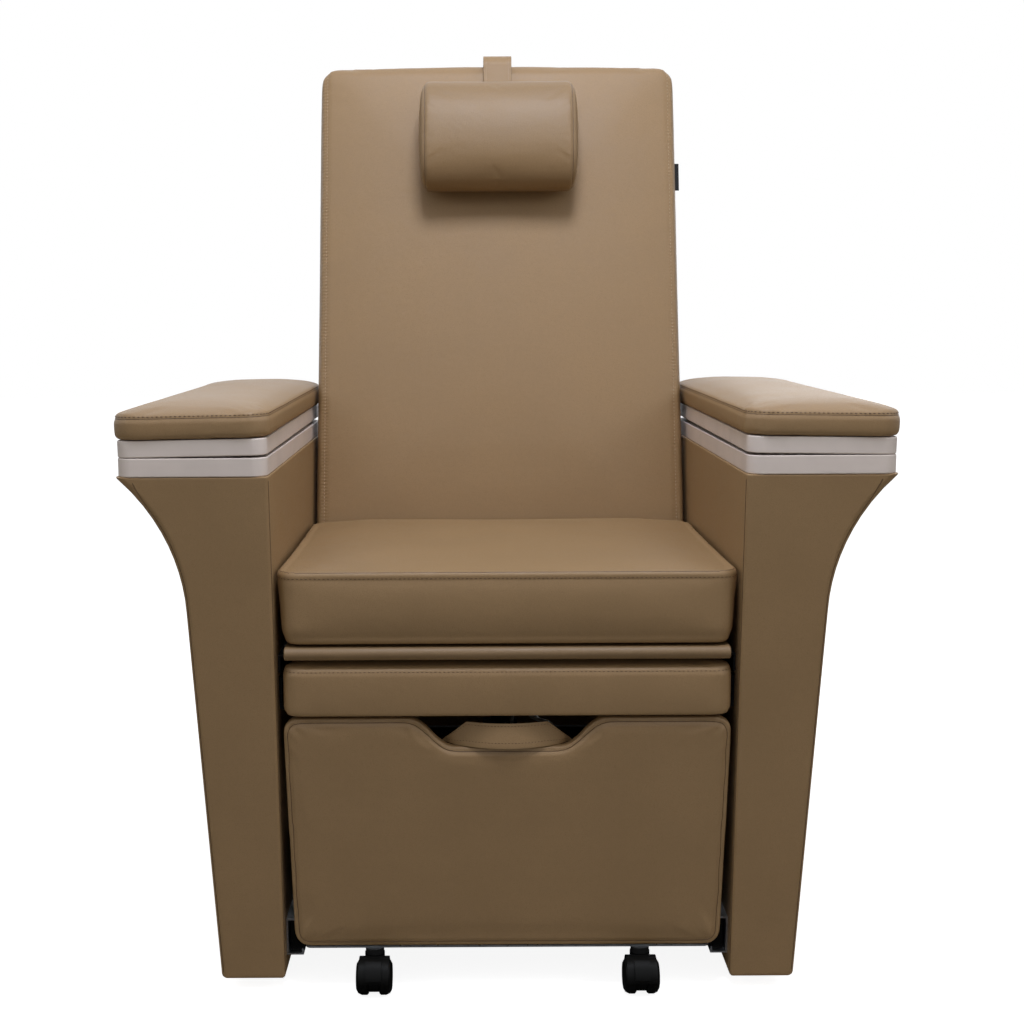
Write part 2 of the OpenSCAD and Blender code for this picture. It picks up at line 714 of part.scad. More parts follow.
// Leg rest cushion: wide at its front, which hides the runners, and narrow between them.
// A lip along its front hides the plates' feet, and a pocket takes the board.
rest_lip = 11;
rest_r = 22;
rest_low_r = 6;
rest_top_r = 10;
rest_wing = 36;
rest_step = 1;
rest_pull = 2;
module rest_cushion() {
  w = seat_w - 2 * rest_step;
  side = rest_half - rest_plate_t - soft_gap;
  hollow = rest_lift + rest_plate_t + rest_board_t + soft_gap;
  placed() color(leather_c) difference() {
    translate([0, rest_front + rest_len / 2, rest_z])
      cushion(w, rest_len, rest_h, rest_crown, rest_r, rest_low_r, rest_top_r,
        [rest_pull, rest_pull, rest_pull, 0]);
    translate([-rest_half + rest_rim, rest_front + rest_rim - soft_gap, rest_z - over])
      cube([2 * (rest_half - rest_rim), rest_len - 2 * (rest_rim - soft_gap), hollow + over]);
    translate([-seat_w, rest_front + rest_lip, rest_z - over])
      cube([2 * seat_w, rest_len, rest_lift + rest_plate_t + soft_gap + over]);
    both_sides() translate([side, rest_front + rest_wing, rest_z - over])
      cube([seat_w, rest_len, 2 * rest_h]);
  }
}

// Back cushion: crowned front, arched top edge and drawn-in sides
back_low_r = 3;
back_top_r = 10;
back_pull = 0.8;
module back_cushion() {
  placed() color(leather_light_c) on_back()
    translate([0, (back_start + back_end) / 2, -back_t])
      cushion(back_w, back_len, back_t, back_crown, back_r, back_low_r, back_top_r,
        [back_pull, -back_arch, back_pull, 0]);
}

// Back board inside the shell
module back_board() {
  half = back_side - shell_wall - soft_gap;
  foot = back_start + shell_wall + soft_gap;
  r = back_r - shell_wall;
  placed() color(ply_c) on_back() translate([0, 0, -back_t - back_board_t - soft_gap])
    plate([-half, foot], [half, back_end - shell_wall - soft_gap], [for (i = [0:3]) r], back_board_t);
}

// Shell behind the back: padded pan with slots for the recline arms in its lower wall and a
// notch for the eye of the actuator's rod in its rear wall
arm_inset = 54;
arm_x = back_side - arm_inset;
arm_t = 6;
eye_t = 14;
eye_wall = 5;
eye_r = bar_d / 2 + bar_gap + eye_wall;
module back_shell() {
  r = [for (i = [0:3]) back_r];
  inner = [for (i = [0:3]) back_r - shell_wall];
  gap = soft_gap + fit;
  placed() color(leather_light_c) on_back() difference() {
    union() {
      translate([0, 0, -shell_rear])
        plate([-back_side, back_start], [back_side, back_end], r, back_shell_d - gap);
      arch_plate(back_side - back_r, back_end, back_arch, -shell_rear, back_shell_d - gap);
    }
    translate([0, 0, -shell_rear + shell_wall])
      plate([-back_side + shell_wall, back_start + shell_wall],
        [back_side - shell_wall, back_end - shell_wall], inner, back_shell_d);
    both_sides() translate([arm_x - arm_t, back_start - over, -shell_rear + shell_wall])
      cube([2 * arm_t, shell_wall + 2 * over, back_shell_d]);
    translate([-eye_t, back_start - over, -shell_rear - over])
      cube([2 * eye_t, lever_u + eye_r + bar_gap - back_start + over, shell_wall + 2 * over]);
  }
}
// Flat segment of a circle over the straight top edge of the back
module arch_plate(half, y, rise, z, h) {
  r = (half * half + rise * rise) / (2 * rise);
  translate([0, y + rise - r, z]) intersection() {
    cylinder(r = r, h = h, $fn = 360);
    translate([-half, r - 2 * rise, 0]) cube([2 * half, 2 * rise, h]);
  }
}

// Recline frame: two arms with sleeves on the shaft, strips up the board and a crossbar
// behind the back that the actuator pushes
sleeve_wall = 5;
sleeve_d = shaft_d + 2 * sleeve_wall;
sleeve_w = 40;
arm_w = 14;
arm_reach = 230;
lever_u = (lever_y - back_y) * sin(lean) + (lever_z - back_z) * cos(lean);
lever_w = -(lever_y - back_y) * cos(lean) + (lever_z - back_z) * sin(lean);
module recline_arm() {
  strip_w = -back_t - back_board_t - 2 * soft_gap - arm_w;
  foot_r = bar_d / 2 + rim_wall;
  translate([arm_x - arm_t / 2, 0, 0]) rotate([90, 0, 90]) linear_extrude(arm_t) difference() {
    union() {
      translate([0, strip_w]) square([back_start + arm_reach, arm_w]);
      translate([0, -back_face]) circle(d = sleeve_d);
      translate([-sleeve_d / 2, lever_w - foot_r])
        square([sleeve_d / 2 + arm_w, -back_face - lever_w + foot_r]);
      translate([0, lever_w - foot_r]) square([lever_u, 2 * foot_r]);
      translate([lever_u, lever_w]) circle(r = foot_r);
    }
    translate([0, -back_face]) circle(d = shaft_d + 2 * fit);
  }
  translate([arm_x - sleeve_w / 2, 0, -back_face]) rotate([0, 90, 0]) difference() {
    cylinder(d = sleeve_d, h = sleeve_w);
    translate([0, 0, -over]) cylinder(d = shaft_d + 2 * fit, h = sleeve_w + 2 * over);
  }
}
module recline_frame() {
  placed() color(steel_c) on_back() union() {
    both_sides() recline_arm();
    translate([-arm_x, lever_u, lever_w]) rotate([0, 90, 0]) cylinder(d = bar_d, h = 2 * arm_x);
  }
}

// Pillow strap: flat band from behind the pillow over the top edge and down the shell
strap_t = 2.5;
strap_rise = 10;
strap_down = 210;
strap_under = 32;
strap_bend = 22;
strap_fold = 10;
pillow_u = back_end - pillow_drop;
module pillow_strap() {
  foot = pillow_u - pillow_len / 2 + strap_under;
  low = back_end - strap_down;
  front = back_crown + soft_gap + strap_t;
  rear = -shell_rear - soft_gap - strap_t;
  top = back_end + back_arch + strap_rise;
  r = [strap_bend, strap_fold, strap_bend, strap_bend];
  placed() color(leather_light_c) on_back() translate([-strap_w / 2, 0, 0]) rotate([90, 0, 90])
    linear_extrude(strap_w) difference() {
      outline([low - 2 * strap_bend, rear], [top, front], r);
      outline([low - 2 * strap_bend - strap_t, rear + strap_t], [top - strap_t, front - strap_t],
        [for (q = r) q - strap_t]);
      translate([low - 3 * strap_bend, rear - over]) square([3 * strap_bend, front - rear + 2 * over]);
      translate([low - over, 0]) square([foot - low + over, 2 * front]);
    }
}

// Bare woven tag sewn into the edge of the back
tag_w = 9;
tag_len = 47;
tag_drop = 213;
tag_t = 1.6;
module side_tag() {
  placed() color(dark_c) on_back()
    translate([back_side + soft_gap, back_end - tag_drop, -back_t / 2]) cube([tag_w, tag_len, tag_t]);
}

// Head pillow: a D-shaped roll, flat towards the back, with rounded end caps.
// Its rounding shares give the length left in from each end and the girth there.
pillow_end = 14;
pillow_end_shares = [[0, 0.5], [0.15, 0.75], [0.4, 0.9], [0.72, 0.98], [1, 1]];
pillow_points = 28;
round_share = 0.82;
front_share = 0.9;
flat_share = 0.45;
function swell(c, share) = sign(c) * pow(abs(c), share);
function pillow_ring(x, s) = [for (i = [0:pillow_points - 1])
  let (t = 360 * i / pillow_points, z = swell(sin(t), sin(t) > 0 ? front_share : flat_share))
  [x, pillow_u + s * pillow_len / 2 * swell(cos(t), round_share), pillow_t / 2 * (1 + s * z)]];
module head_pillow() {
  half = pillow_w / 2;
  last = len(pillow_end_shares) - 1;
  rings = concat([for (e = pillow_end_shares) pillow_ring(pillow_end * e[0] - half, e[1])],
    [for (i = [last:-1:0]) let (e = pillow_end_shares[i]) pillow_ring(half - pillow_end * e[0], e[1])]);
  placed() color(leather_light_c) on_back() translate([0, 0, back_crown + strap_t + 2 * soft_gap])
    skin(rings);
}

// Counterweight pouch of the pillow, hanging behind the back on the same strap
pouch_w = 190;
pouch_len = 70;
pouch_t = 26;
pouch_crown = 4;
pouch_r = 16;
pouch_lap = 20;
module counterweight() {
  placed() color(leather_light_c) on_back()
    translate([0, back_end - strap_down - pouch_len / 2 + pouch_lap, -shell_rear - strap_t - 2 * soft_gap])
      mirror([0, 0, 1]) cushion(pouch_w, pouch_len, pouch_t - pouch_crown, pouch_crown - soft_gap, pouch_r,
        pouch_r / 2, pouch_r / 2, [for (i = [0:3]) back_pull]);
}

// Actuator: outer tube with its gear housing on the clevis, and the rod that pushes the crossbar
rod_d = 20;
housing_w = 60;
housing_h = 54;
housing_r = 8;
lug_h = 24;
tube_len = 250;
cap_h = 12;
rod_start = 154;
module along_rod() { translate([0, clevis_y, clevis_z]) rotate([-rod_lean, 0, 0]) children(); }
module actuator_tube() {
  lug_w = clevis_gap - 2 * slide_gap;
  lug_r = cheek_r - 2;
  placed() color(dark_c) along_rod() difference() {
    union() {
      translate([-lug_w / 2, 0, 0]) rotate([0, 90, 0]) cylinder(r = lug_r, h = lug_w);
      translate([-lug_w / 2, -lug_r, 0]) cube([lug_w, 2 * lug_r, lug_h]);
      translate([0, 0, lug_h - beam_t])
        plate([-housing_w / 2, -tube_d / 2], [housing_w / 2, tube_d / 2],
          [for (i = [0:3]) housing_r], housing_h);
      translate([0, 0, lug_h]) cylinder(d = tube_d - 2 * beam_t, h = tube_len);
      translate([0, 0, lug_h + tube_len - cap_h]) cylinder(d = tube_d, h = cap_h);
    }
    translate([-clevis_gap, 0, 0]) rotate([0, 90, 0])
      cylinder(d = clevis_pin_d + 2 * fit, h = 2 * clevis_gap);
    translate([0, 0, lug_h + housing_h]) cylinder(d = rod_d + 2 * slide_gap, h = tube_len);
  }
}
module actuator_rod() {
  bore = bar_d + 2 * bar_gap;
  placed() color(steel_c) along_rod() difference() {
    union() {
      translate([0, 0, rod_start]) cylinder(d = rod_d, h = rod_len - rod_start);
      translate([-eye_t / 2, 0, rod_len]) rotate([0, 90, 0]) cylinder(r = eye_r, h = eye_t);
    }
    translate([-rod_d, 0, rod_len]) rotate([0, 90, 0]) cylinder(d = bore, h = 2 * rod_d);
  }
}

// Control box under the rear of the seat, and its lead that hangs in a loop in front of it
// before it runs back over the drawer and down to the actuator
box_w = 120;
box_d = 60;
box_h = 30;
box_r = 6;
box_y = seat_end - beam_w - box_d;
box_z = seat_z - board_t - box_h;
module control_box() {
  placed() color(dark_c) translate([0, 0, box_z])
    plate([-box_w / 2, box_y], [box_w / 2, box_y + box_d], [for (i = [0:3]) box_r], box_h);
}
lead_d = 6;
lead_sides = 8;
lead_route = [
  [20, 406, 472], [20, 398, 471], [21, 388, 465], [23, 378, 450], [25, 370, 425], [27, 364, 390],
  [30, 359, 350], [36, 355, 325], [46, 352, 312], [57, 351, 308], [68, 352, 306], [78, 354, 300],
  [82, 358, 291], [80, 366, 285], [72, 380, 284], [62, 400, 288], [55, 425, 296], [50, 455, 304],
  [45, 490, 310], [40, 525, 310], [34, 552, 302], [28, 570, 284], [23, 579, 258], [20, 584, 234],
  [19, 587, 220], [19, 591, 213]
];
function unit(v) = v / norm(v);
function lead_dir(p, i) = unit(p[min(i + 1, len(p) - 1)] - p[max(i - 1, 0)]);
lead_up = [1, 0, 0.2];
function lead_ring(p, i, r, n) = let (d = lead_dir(p, i), a = unit(cross(lead_up, d)), b = cross(d, a))
  [for (k = [0:n - 1]) p[i] + r * (cos(360 * k / n) * a + sin(360 * k / n) * b)];
module control_lead() {
  placed() color(grey_c)
    skin([for (i = [0:len(lead_route) - 1]) lead_ring(lead_route, i, lead_d / 2, lead_sides)]);
}

// Drawer front: padded board flush with the raked arms, with a hand cut-out in its top edge.
// The outline's second coordinate is the height along the raked face.
front_gap = 0.5;
front_half = seat_w / 2 - front_gap;
front_edge = 5;
dip_steps = 14;
dip_shoulder = 60;
dip_start = 3;
edge_shares = [[1, 0], [0.35, 0.35], [0, 1]];
function front_side(s) = front_half - front_taper * (1 - s / front_h);
function dip_x(i) = dip_w / 2 + dip_start - dip_shoulder * i / dip_steps;
function dip_z(i) = front_h - dip_h * (1 - cos(180 * i / dip_steps)) / 2;
function front_outline() = concat(
  quarter([front_side(0) - front_r, front_r], front_r, -90, 5),
  quarter([front_side(front_h) - front_r, front_h - front_r], front_r, 0, 5),
  [for (i = [0:dip_steps]) [dip_x(i), dip_z(i)]],
  [for (i = [dip_steps:-1:0]) [-dip_x(i), dip_z(i)]],
  quarter([-front_side(front_h) + front_r, front_h - front_r], front_r, 90, 5),
  quarter([-front_side(0) + front_r, front_r], front_r, 180, 5));
// Outline moved inwards by e, each point square to the line through its neighbours
function inset(p, e) = let (n = len(p)) [for (i = [0:n - 1])
  let (d = p[(i + 1) % n] - p[(i + n - 1) % n]) p[i] + e * [-d.y, d.x] / norm(d)];
// Frame of the raked front: X across, Y up along the face and Z out of it to the front
module on_front() {
  translate([0, pod_front(front_z), front_z]) rotate([90 + rake, 0, 0]) children();
}
module drawer_front() {
  line = front_outline();
  back = [for (e = edge_shares) [front_edge * e[0], front_edge * e[1] - front_t]];
  face = [for (i = [2:-1:0]) let (e = edge_shares[i]) [front_edge * e[0], -front_edge * e[1]]];
  placed() color(leather_c) on_front()
    skin([for (s = concat(back, face)) [for (p = inset(line, s.x)) [p.x, p.y, s.y]]]);
}

// Handle strap: a leather band across the cut-out. It bows forwards in the middle, and its
// ends drop behind the board. Its shares are those of its half length and of its height.
handle_t = 4;
handle_half = 104;
handle_h = 27;
handle_drop = 7;
handle_bow = 26;
handle_steps = 20;
bow_share = 0.8;
bow_shape_share = 0.7;
slope_start_share = 0.45;
tail_start_share = 0.7;
function past(a, start) = max(0, (a - start) / (1 - start));
module handle_strap() {
  behind = -front_t - slide_gap - handle_t;
  crest = front_h - handle_drop;
  sections = [for (i = [0:handle_steps])
    let (x = handle_half * (2 * i / handle_steps - 1), a = abs(x) / handle_half,
      z = behind + handle_bow * pow(max(0, cos(90 * min(1, a / bow_share))), bow_shape_share),
      top = crest - handle_h * pow(past(a, slope_start_share), 1.3),
      low = crest - handle_h - handle_h * pow(past(a, tail_start_share), 2))
    [[x, low, z], [x, low, z + handle_t], [x, top, z + handle_t], [x, top, z]]];
  placed() color(leather_c) on_front() skin([for (r = sections) [for (i = [3:-1:0]) r[i]]]);
}

// Steel base of the drawer, its floor, sides and back
module drawer_base() {
  placed() color(steel_c) translate([0, 0, base_z])
    plate([-wall_half, pod_front(front_z) + base_inset], [wall_half, drawer_end],
      [for (i = [0:3]) base_r], base_t);
}
module drawer_floor() {
  placed() color(ply_c) translate([-wall_half + wall_t, box_front, front_z])
    cube([2 * (wall_half - wall_t), drawer_end - box_front - wall_t, floor_t]);
}
module drawer_sides() {
  placed() both_sides() color(ply_c) translate([wall_half - wall_t, box_front, front_z])
    cube([wall_t, drawer_end - box_front, wall_h]);
}
module drawer_back() {
  placed() color(ply_c) translate([-wall_half + wall_t, drawer_end - wall_t, front_z])
    cube([2 * (wall_half - wall_t), wall_t, wall_h]);
}

// Nylon shoes on the drawer's sides: a neck through the mouth of the rail and a head inside it
shoe_len = 50;
shoe_end = 8;
shoe_ys = [rail_front + shoe_end, drawer_end - shoe_len - shoe_end];
module rail_shoes() {
  mouth = pod_in - rail_d + channel_t + slide_gap;
  neck_h = rail_h - 2 * (channel_lip + slide_gap);
  head_h = rail_h - 2 * (channel_t + slide_gap);
  head_end = pod_in - channel_t - screw_h - slide_gap;
  placed() both_sides() color(nylon_c) for (y = shoe_ys) translate([0, y, rail_z + rail_h / 2]) {
    translate([wall_half, 0, -neck_h / 2]) cube([head_end - wall_half, shoe_len, neck_h]);
    translate([mouth, 0, -head_h / 2]) cube([head_end - mouth, shoe_len, head_h]);
  }
}

// Casters: stems under the drawer base, swivelling hoods and pairs of wheels.
// The hood is a spine between the wheels, a neck round the stem and a cap over both wheels.
hood_top = 54;
stem_collar_d = 26;
caster_stem_d = 11;
stem_reach = 16;
hood_w = 14;
hood_trim = 4;
neck_d = 28;
cap_t = 3;
cap_w = 42;
axle_d = 8;
axle_short = 3;
wheel_r = wheel_d / 2;
wheel_t = (caster_w - hood_w) / 2 - slide_gap;
cap_r = wheel_r + cap_t;
module caster_stems() {
  placed() color(steel_c) for (x = [-caster_x, caster_x]) for (y = [caster_front, caster_rear])
    translate([x, y, 0]) {
      translate([0, 0, hood_top - stem_reach])
        cylinder(d = caster_stem_d, h = base_z - hood_top + stem_reach);
      translate([0, 0, hood_top + fit]) cylinder(d = stem_collar_d, h = base_z - hood_top - fit);
    }
}
// Bar along X about the wheels' axle
module wheel_bar(r, w) {
  translate([-w / 2, -trail, wheel_r]) rotate([0, 90, 0]) cylinder(r = r, h = w);
}
module hood(x, y) {
  placed() color(dark_c) translate([x, y, 0]) difference() {
    union() {
      wheel_bar(wheel_r - hood_trim, hood_w);
      translate([0, 0, wheel_r]) cylinder(d = neck_d, h = hood_top - wheel_r);
      intersection() {
        wheel_bar(cap_r, cap_w);
        translate([-cap_w, -trail - cap_r, wheel_r]) cube([2 * cap_w, 2 * cap_r, cap_r]);
      }
      wheel_bar(axle_d / 2, caster_w - 2 * axle_short);
    }
    translate([0, 0, hood_top - stem_reach - fit])
      cylinder(d = caster_stem_d + 2 * fit, h = stem_reach + over);
    both_sides() translate([(hood_w + caster_w) / 2 - over, 0, 0]) difference() {
      wheel_bar(wheel_r + slide_gap, caster_w - 2 * over);
      wheel_bar(axle_d / 2, caster_w);
    }
  }
}
// Wheels, each with a rounded tread and a domed outer side
tread_shares = [[0.92, 0], [1, 0.12], [1, 0.55], [0.9, 0.85], [0.72, 1]];
module wheels(x, y) {
  hub = axle_d / 2 + fit;
  placed() color(dark_c) translate([x, y - trail, wheel_r]) both_sides()
    translate([hood_w / 2 + slide_gap, 0, 0]) rotate([0, 90, 0]) rotate_extrude()
      polygon(concat([[hub, 0]], [for (t = tread_shares) [wheel_r * t[0], wheel_t * t[1]]],
        [[hub, wheel_t]]));
}
// Brake lever of a front caster: a curved pad over the hood's front that rocks about the axle
brake_w = 22;
brake_t = 4;
brake_low = 12;
brake_high = 62;
module brake(x, y) {
  r = cap_r + slide_gap;
  placed() color(nylon_c) translate([x, y, 0]) difference() {
    wheel_bar(r + brake_t, brake_w);
    wheel_bar(r, brake_w + 2 * over);
    translate([0, -trail, wheel_r]) rotate([-brake_low, 0, 0])
      translate([-brake_w, -2 * wheel_d, -2 * wheel_d]) cube([2 * brake_w, 4 * wheel_d, 2 * wheel_d]);
    translate([0, -trail, wheel_r]) rotate([-brake_high, 0, 0])
      translate([-brake_w, -2 * wheel_d, 0]) cube([2 * brake_w, 4 * wheel_d, 2 * wheel_d]);
  }
}
module front_left_brake() { brake(-caster_x, caster_front); }
module front_right_brake() { brake(caster_x, caster_front); }
module front_left_hood() { hood(-caster_x, caster_front); }
module front_right_hood() { hood(caster_x, caster_front); }
module rear_left_hood() { hood(-caster_x, caster_rear); }
module rear_right_hood() { hood(caster_x, caster_rear); }
module front_left_wheels() { wheels(-caster_x, caster_front); }
module front_right_wheels() { wheels(caster_x, caster_front); }
module rear_left_wheels() { wheels(-caster_x, caster_rear); }
module rear_right_wheels() { wheels(caster_x, caster_rear); }

echo(shaft = [0, shaft_y - mid_y, shaft_z], lid_pivot = [pivot_x, pivot_y - mid_y, lid_z]);
echo(clevis = [0, clevis_y - mid_y, clevis_z], rod_lean = rod_lean, rod_lean_end = rod_lean_end);
echo(rod = rod_len, rod_end = rod_len_end, mid_y = mid_y, rear_y = rear_y, rim_out = rim_out);
echo(back_origin = [0, back_y - mid_y, back_z], casters = [caster_front - mid_y, caster_rear - mid_y]);

left_pod();
right_pod();
left_tray();
right_tray();
lid_pins();
lid_washers();
lid_pin_rings();
levelling_glides();
drawer_rails();
rail_screws();
rear_beam();
clevis_pin();
seat_rails();
seat_beam();
seat_board();
seat_cushion();
rear_panel();
recline_shaft();
runner_outers();
control_box();
control_lead();
runner_middles();
runner_inners();
rest_plates();
rest_board();
rest_cushion();
back_cushion();
back_board();
back_shell();
recline_frame();
pillow_strap();
side_tag();
head_pillow();
counterweight();
actuator_tube();
actuator_rod();
left_lid();
right_lid();
left_bush();
right_bush();
left_arm_pad();
right_arm_pad();
drawer_front();
handle_strap();
drawer_base();
drawer_floor();
drawer_sides();
drawer_back();
rail_shoes();
caster_stems();
front_left_hood();
front_right_hood();
rear_left_hood();
rear_right_hood();
front_left_wheels();
front_right_wheels();
rear_left_wheels();
rear_right_wheels();
front_left_brake();
front_right_brake();
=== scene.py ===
# %% [markdown]
# # A pedicure chair, dressed for a product photograph
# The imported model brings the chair's steel, wood and plastic in their real shapes, and plain
# stand-ins for its upholstery. This lesson keeps the hard pieces, makes the leather work new, and
# lights the chair as a catalogue does. Everything is in metres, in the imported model's own frame.

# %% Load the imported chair
import json
import math

import bmesh
import bpy
from mathutils import Matrix, Vector
from mathutils.bvhtree import BVHTree
from mathutils.kdtree import KDTree

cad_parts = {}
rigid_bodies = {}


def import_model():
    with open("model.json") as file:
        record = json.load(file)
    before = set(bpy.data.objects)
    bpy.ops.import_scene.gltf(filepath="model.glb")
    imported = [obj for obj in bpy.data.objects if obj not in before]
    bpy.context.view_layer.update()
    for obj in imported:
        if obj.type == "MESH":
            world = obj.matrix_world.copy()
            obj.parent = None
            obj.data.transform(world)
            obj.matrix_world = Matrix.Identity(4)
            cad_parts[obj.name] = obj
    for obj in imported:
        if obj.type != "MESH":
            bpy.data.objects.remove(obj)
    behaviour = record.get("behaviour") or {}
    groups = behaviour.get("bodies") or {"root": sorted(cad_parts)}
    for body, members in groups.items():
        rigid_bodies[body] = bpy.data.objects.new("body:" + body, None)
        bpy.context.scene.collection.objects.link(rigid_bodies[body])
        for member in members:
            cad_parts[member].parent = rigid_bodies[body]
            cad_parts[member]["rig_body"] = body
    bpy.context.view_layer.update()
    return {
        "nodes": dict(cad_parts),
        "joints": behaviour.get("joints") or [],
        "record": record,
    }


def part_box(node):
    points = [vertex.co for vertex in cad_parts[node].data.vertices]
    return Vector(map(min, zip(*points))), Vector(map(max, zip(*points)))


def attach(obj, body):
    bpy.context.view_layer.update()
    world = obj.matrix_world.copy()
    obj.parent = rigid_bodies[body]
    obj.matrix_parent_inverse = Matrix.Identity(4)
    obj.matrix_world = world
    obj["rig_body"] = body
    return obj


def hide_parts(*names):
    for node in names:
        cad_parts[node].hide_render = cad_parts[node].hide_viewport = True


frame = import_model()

MM = 0.001
nodes = frame["nodes"]
scene = bpy.context.scene

# %% [markdown]
# The photograph was taken from just above the arms with a short telephoto. Its horizon and the
# spread of the arm rims gave the focal length in pixels, the optical axis and the tilt. A lens
# shift moves the axis off the middle of the picture, as a crop of a larger picture does.

# %% Camera
IMAGE_PX = 1024
FOCAL_PX = 1453
AXIS_PX = 473
SENSOR_MM = 36
TILT_DOWN = math.radians(7.91)
ROLL = math.radians(0.3)
CAMERA_SIDE = -44 * MM
CAMERA_HEIGHT = 956 * MM
CAMERA_FROM_RIMS = 1900 * MM

camera_data = bpy.data.cameras.new("camera")
camera_data.sensor_width = SENSOR_MM
camera_data.lens = FOCAL_PX / IMAGE_PX * SENSOR_MM
camera_data.shift_x = 0.5 - AXIS_PX / IMAGE_PX
camera = bpy.data.objects.new("camera", camera_data)
scene.collection.objects.link(camera)
rim_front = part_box("left_tray")[0].y
camera.location = (CAMERA_SIDE, rim_front - CAMERA_FROM_RIMS, CAMERA_HEIGHT)
camera.rotation_euler = (math.radians(90) - TILT_DOWN, ROLL, 0)
scene.camera = camera
print("lens", round(camera_data.lens, 2), "mm, shift", round(camera_data.shift_x, 3))

# %% [markdown]
# Shader maths is easier to read as maths. A Wire wraps a socket, and its operators add Math nodes.
# A Finish is one material, and its node method makes any other node: the settings go in first,
# then the values or wires of the sockets.

# %% Shader helpers


class Wire:
    """A socket of a shader that can stand in a sum."""

    def __init__(self, finish, socket):
        self.finish = finish
        self.socket = socket

    def maths(self, operation, *terms):
        return self.finish.node("ShaderNodeMath", {"operation": operation}, terms)

    def __add__(self, other):
        return self.maths("ADD", self, other)

    def __sub__(self, other):
        return self.maths("SUBTRACT", self, other)

    def __rsub__(self, other):
        return self.maths("SUBTRACT", other, self)

    def __mul__(self, other):
        return self.maths("MULTIPLY", self, other)

    __radd__ = __add__
    __rmul__ = __mul__


class Finish:
    """One material with a Principled shader, and short ways to feed it."""

    def __init__(self, name, **sockets):
        self.material = bpy.data.materials.new(name)
        self.material.use_nodes = True
        self.tree = self.material.node_tree
        self.shader = self.tree.nodes["Principled BSDF"]
        for socket, value in sockets.items():
            self.feed(socket.replace("_", " ").title().replace("Ior", "IOR"), value)

    def node(self, kind, settings=None, inputs=(), output=0):
        made = self.tree.nodes.new(kind)
        for key, value in (settings or {}).items():
            setattr(made, key, value)
        pairs = inputs.items() if isinstance(inputs, dict) else enumerate(inputs)
        for key, value in pairs:
            if isinstance(value, Wire):
                self.tree.links.new(value.socket, made.inputs[key])
            else:
                made.inputs[key].default_value = value
        return Wire(self, made.outputs[output])

    def feed(self, socket, value):
        if isinstance(value, Wire):
            self.tree.links.new(value.socket, self.shader.inputs[socket])
        else:
            self.shader.inputs[socket].default_value = value

    def place(self):
        return self.node("ShaderNodeTexCoord", output="Object")

    def stretched(self, scale):
        return self.node("ShaderNodeMapping", None, {"Vector": self.place(), "Scale": scale})

    def noise(self, where, size, detail=2.0):
        sockets = {"Vector": where, "Scale": 1 / size, "Detail": detail}
        return self.node("ShaderNodeTexNoise", None, sockets)

    def cells(self, where, size):
        sockets = {"Vector": where, "Scale": 1 / size}
        settings = {"feature": "DISTANCE_TO_EDGE"}
        return self.node("ShaderNodeTexVoronoi", settings, sockets, "Distance")

    def between(self, value, low, high, start=0.0, end=1.0):
        settings = {"interpolation_type": "SMOOTHSTEP"}
        sockets = {0: value, 1: low, 2: high, 3: start, 4: end}
        return self.node("ShaderNodeMapRange", settings, sockets)

    def mix(self, mask, dark, light):
        sockets = {0: mask, 6: dark, 7: light}
        return self.node("ShaderNodeMix", {"data_type": "RGBA"}, sockets, 2)

    def bump(self, height, depth, strength=1.0):
        sockets = {"Height": height, "Distance": depth, "Strength": strength}
        self.feed("Normal", self.node("ShaderNodeBump", None, sockets))


def colour(red, green, blue):
    """A colour written as it looks on a screen, from 0 to 255, as the light that it stands for."""
    made = []
    for share in (red / 255, green / 255, blue / 255):
        made.append(share / 12.92 if share <= 0.04045 else ((share + 0.055) / 1.055) ** 2.4)
    return tuple(made) + (1.0,)


def scaled(shade, share):
    return tuple(c * share for c in shade[:3]) + (1.0,)


# %% [markdown]
# The catalogue picture has no visible room: a pure white ground, light from above and a little
# from both sides, and fronts that fall into a deep tone. So the world and the floor are white to
# the camera, while only a low fill and four softboxes light the chair. Reflections see a cool
# white studio above and behind the chair that darkens towards the camera, because the photograph
# has sheen on the back and on the tops and none on the fronts. The rear softbox gives the right
# arm pad its paler sheen and shows the chair's rear. The floor takes the chair's shadow.

# %% Light, floor and backdrop
FILL = 0.28
FLOOR_HALF = 14
FLOOR_GLOW = 0.9
FLOOR_BOUNCE = (0.60, 0.56, 0.48, 1.0)
FLOOR_MIRRORED = (0.1, 0.1, 0.1, 1.0)
WHITE = (1.0, 1.0, 1.0, 1.0)
KEY_TINT = (0.97, 1.0, 1.1)
STUDIO_TINT = (0.97, 1.0, 1.06, 1.0)


def softbox(name, place, target, size, watts, tint=(1.0, 1.0, 1.0)):
    lamp = bpy.data.lights.new(name, "AREA")
    lamp.size = size
    lamp.energy = watts
    lamp.color = tint
    holder = bpy.data.objects.new(name, lamp)
    scene.collection.objects.link(holder)
    holder.location = place
    aim = Vector(target) - Vector(place)
    holder.rotation_euler = aim.to_track_quat("-Z", "Y").to_euler()


softbox("key_softbox", (0.05, -0.9, 2.5), (0, 0.1, 0.8), 0.5, 21.6, KEY_TINT)
softbox("left_softbox", (-2.1, -1.2, 1.9), (0, 0.1, 0.8), 0.8, 3.6)
softbox("right_softbox", (2.1, -1.2, 1.9), (0, 0.1, 0.8), 0.8, 7)
softbox("rear_softbox", (1.1, 2.3, 1.3), (0.35, 0, 0.65), 0.7, 2.5)


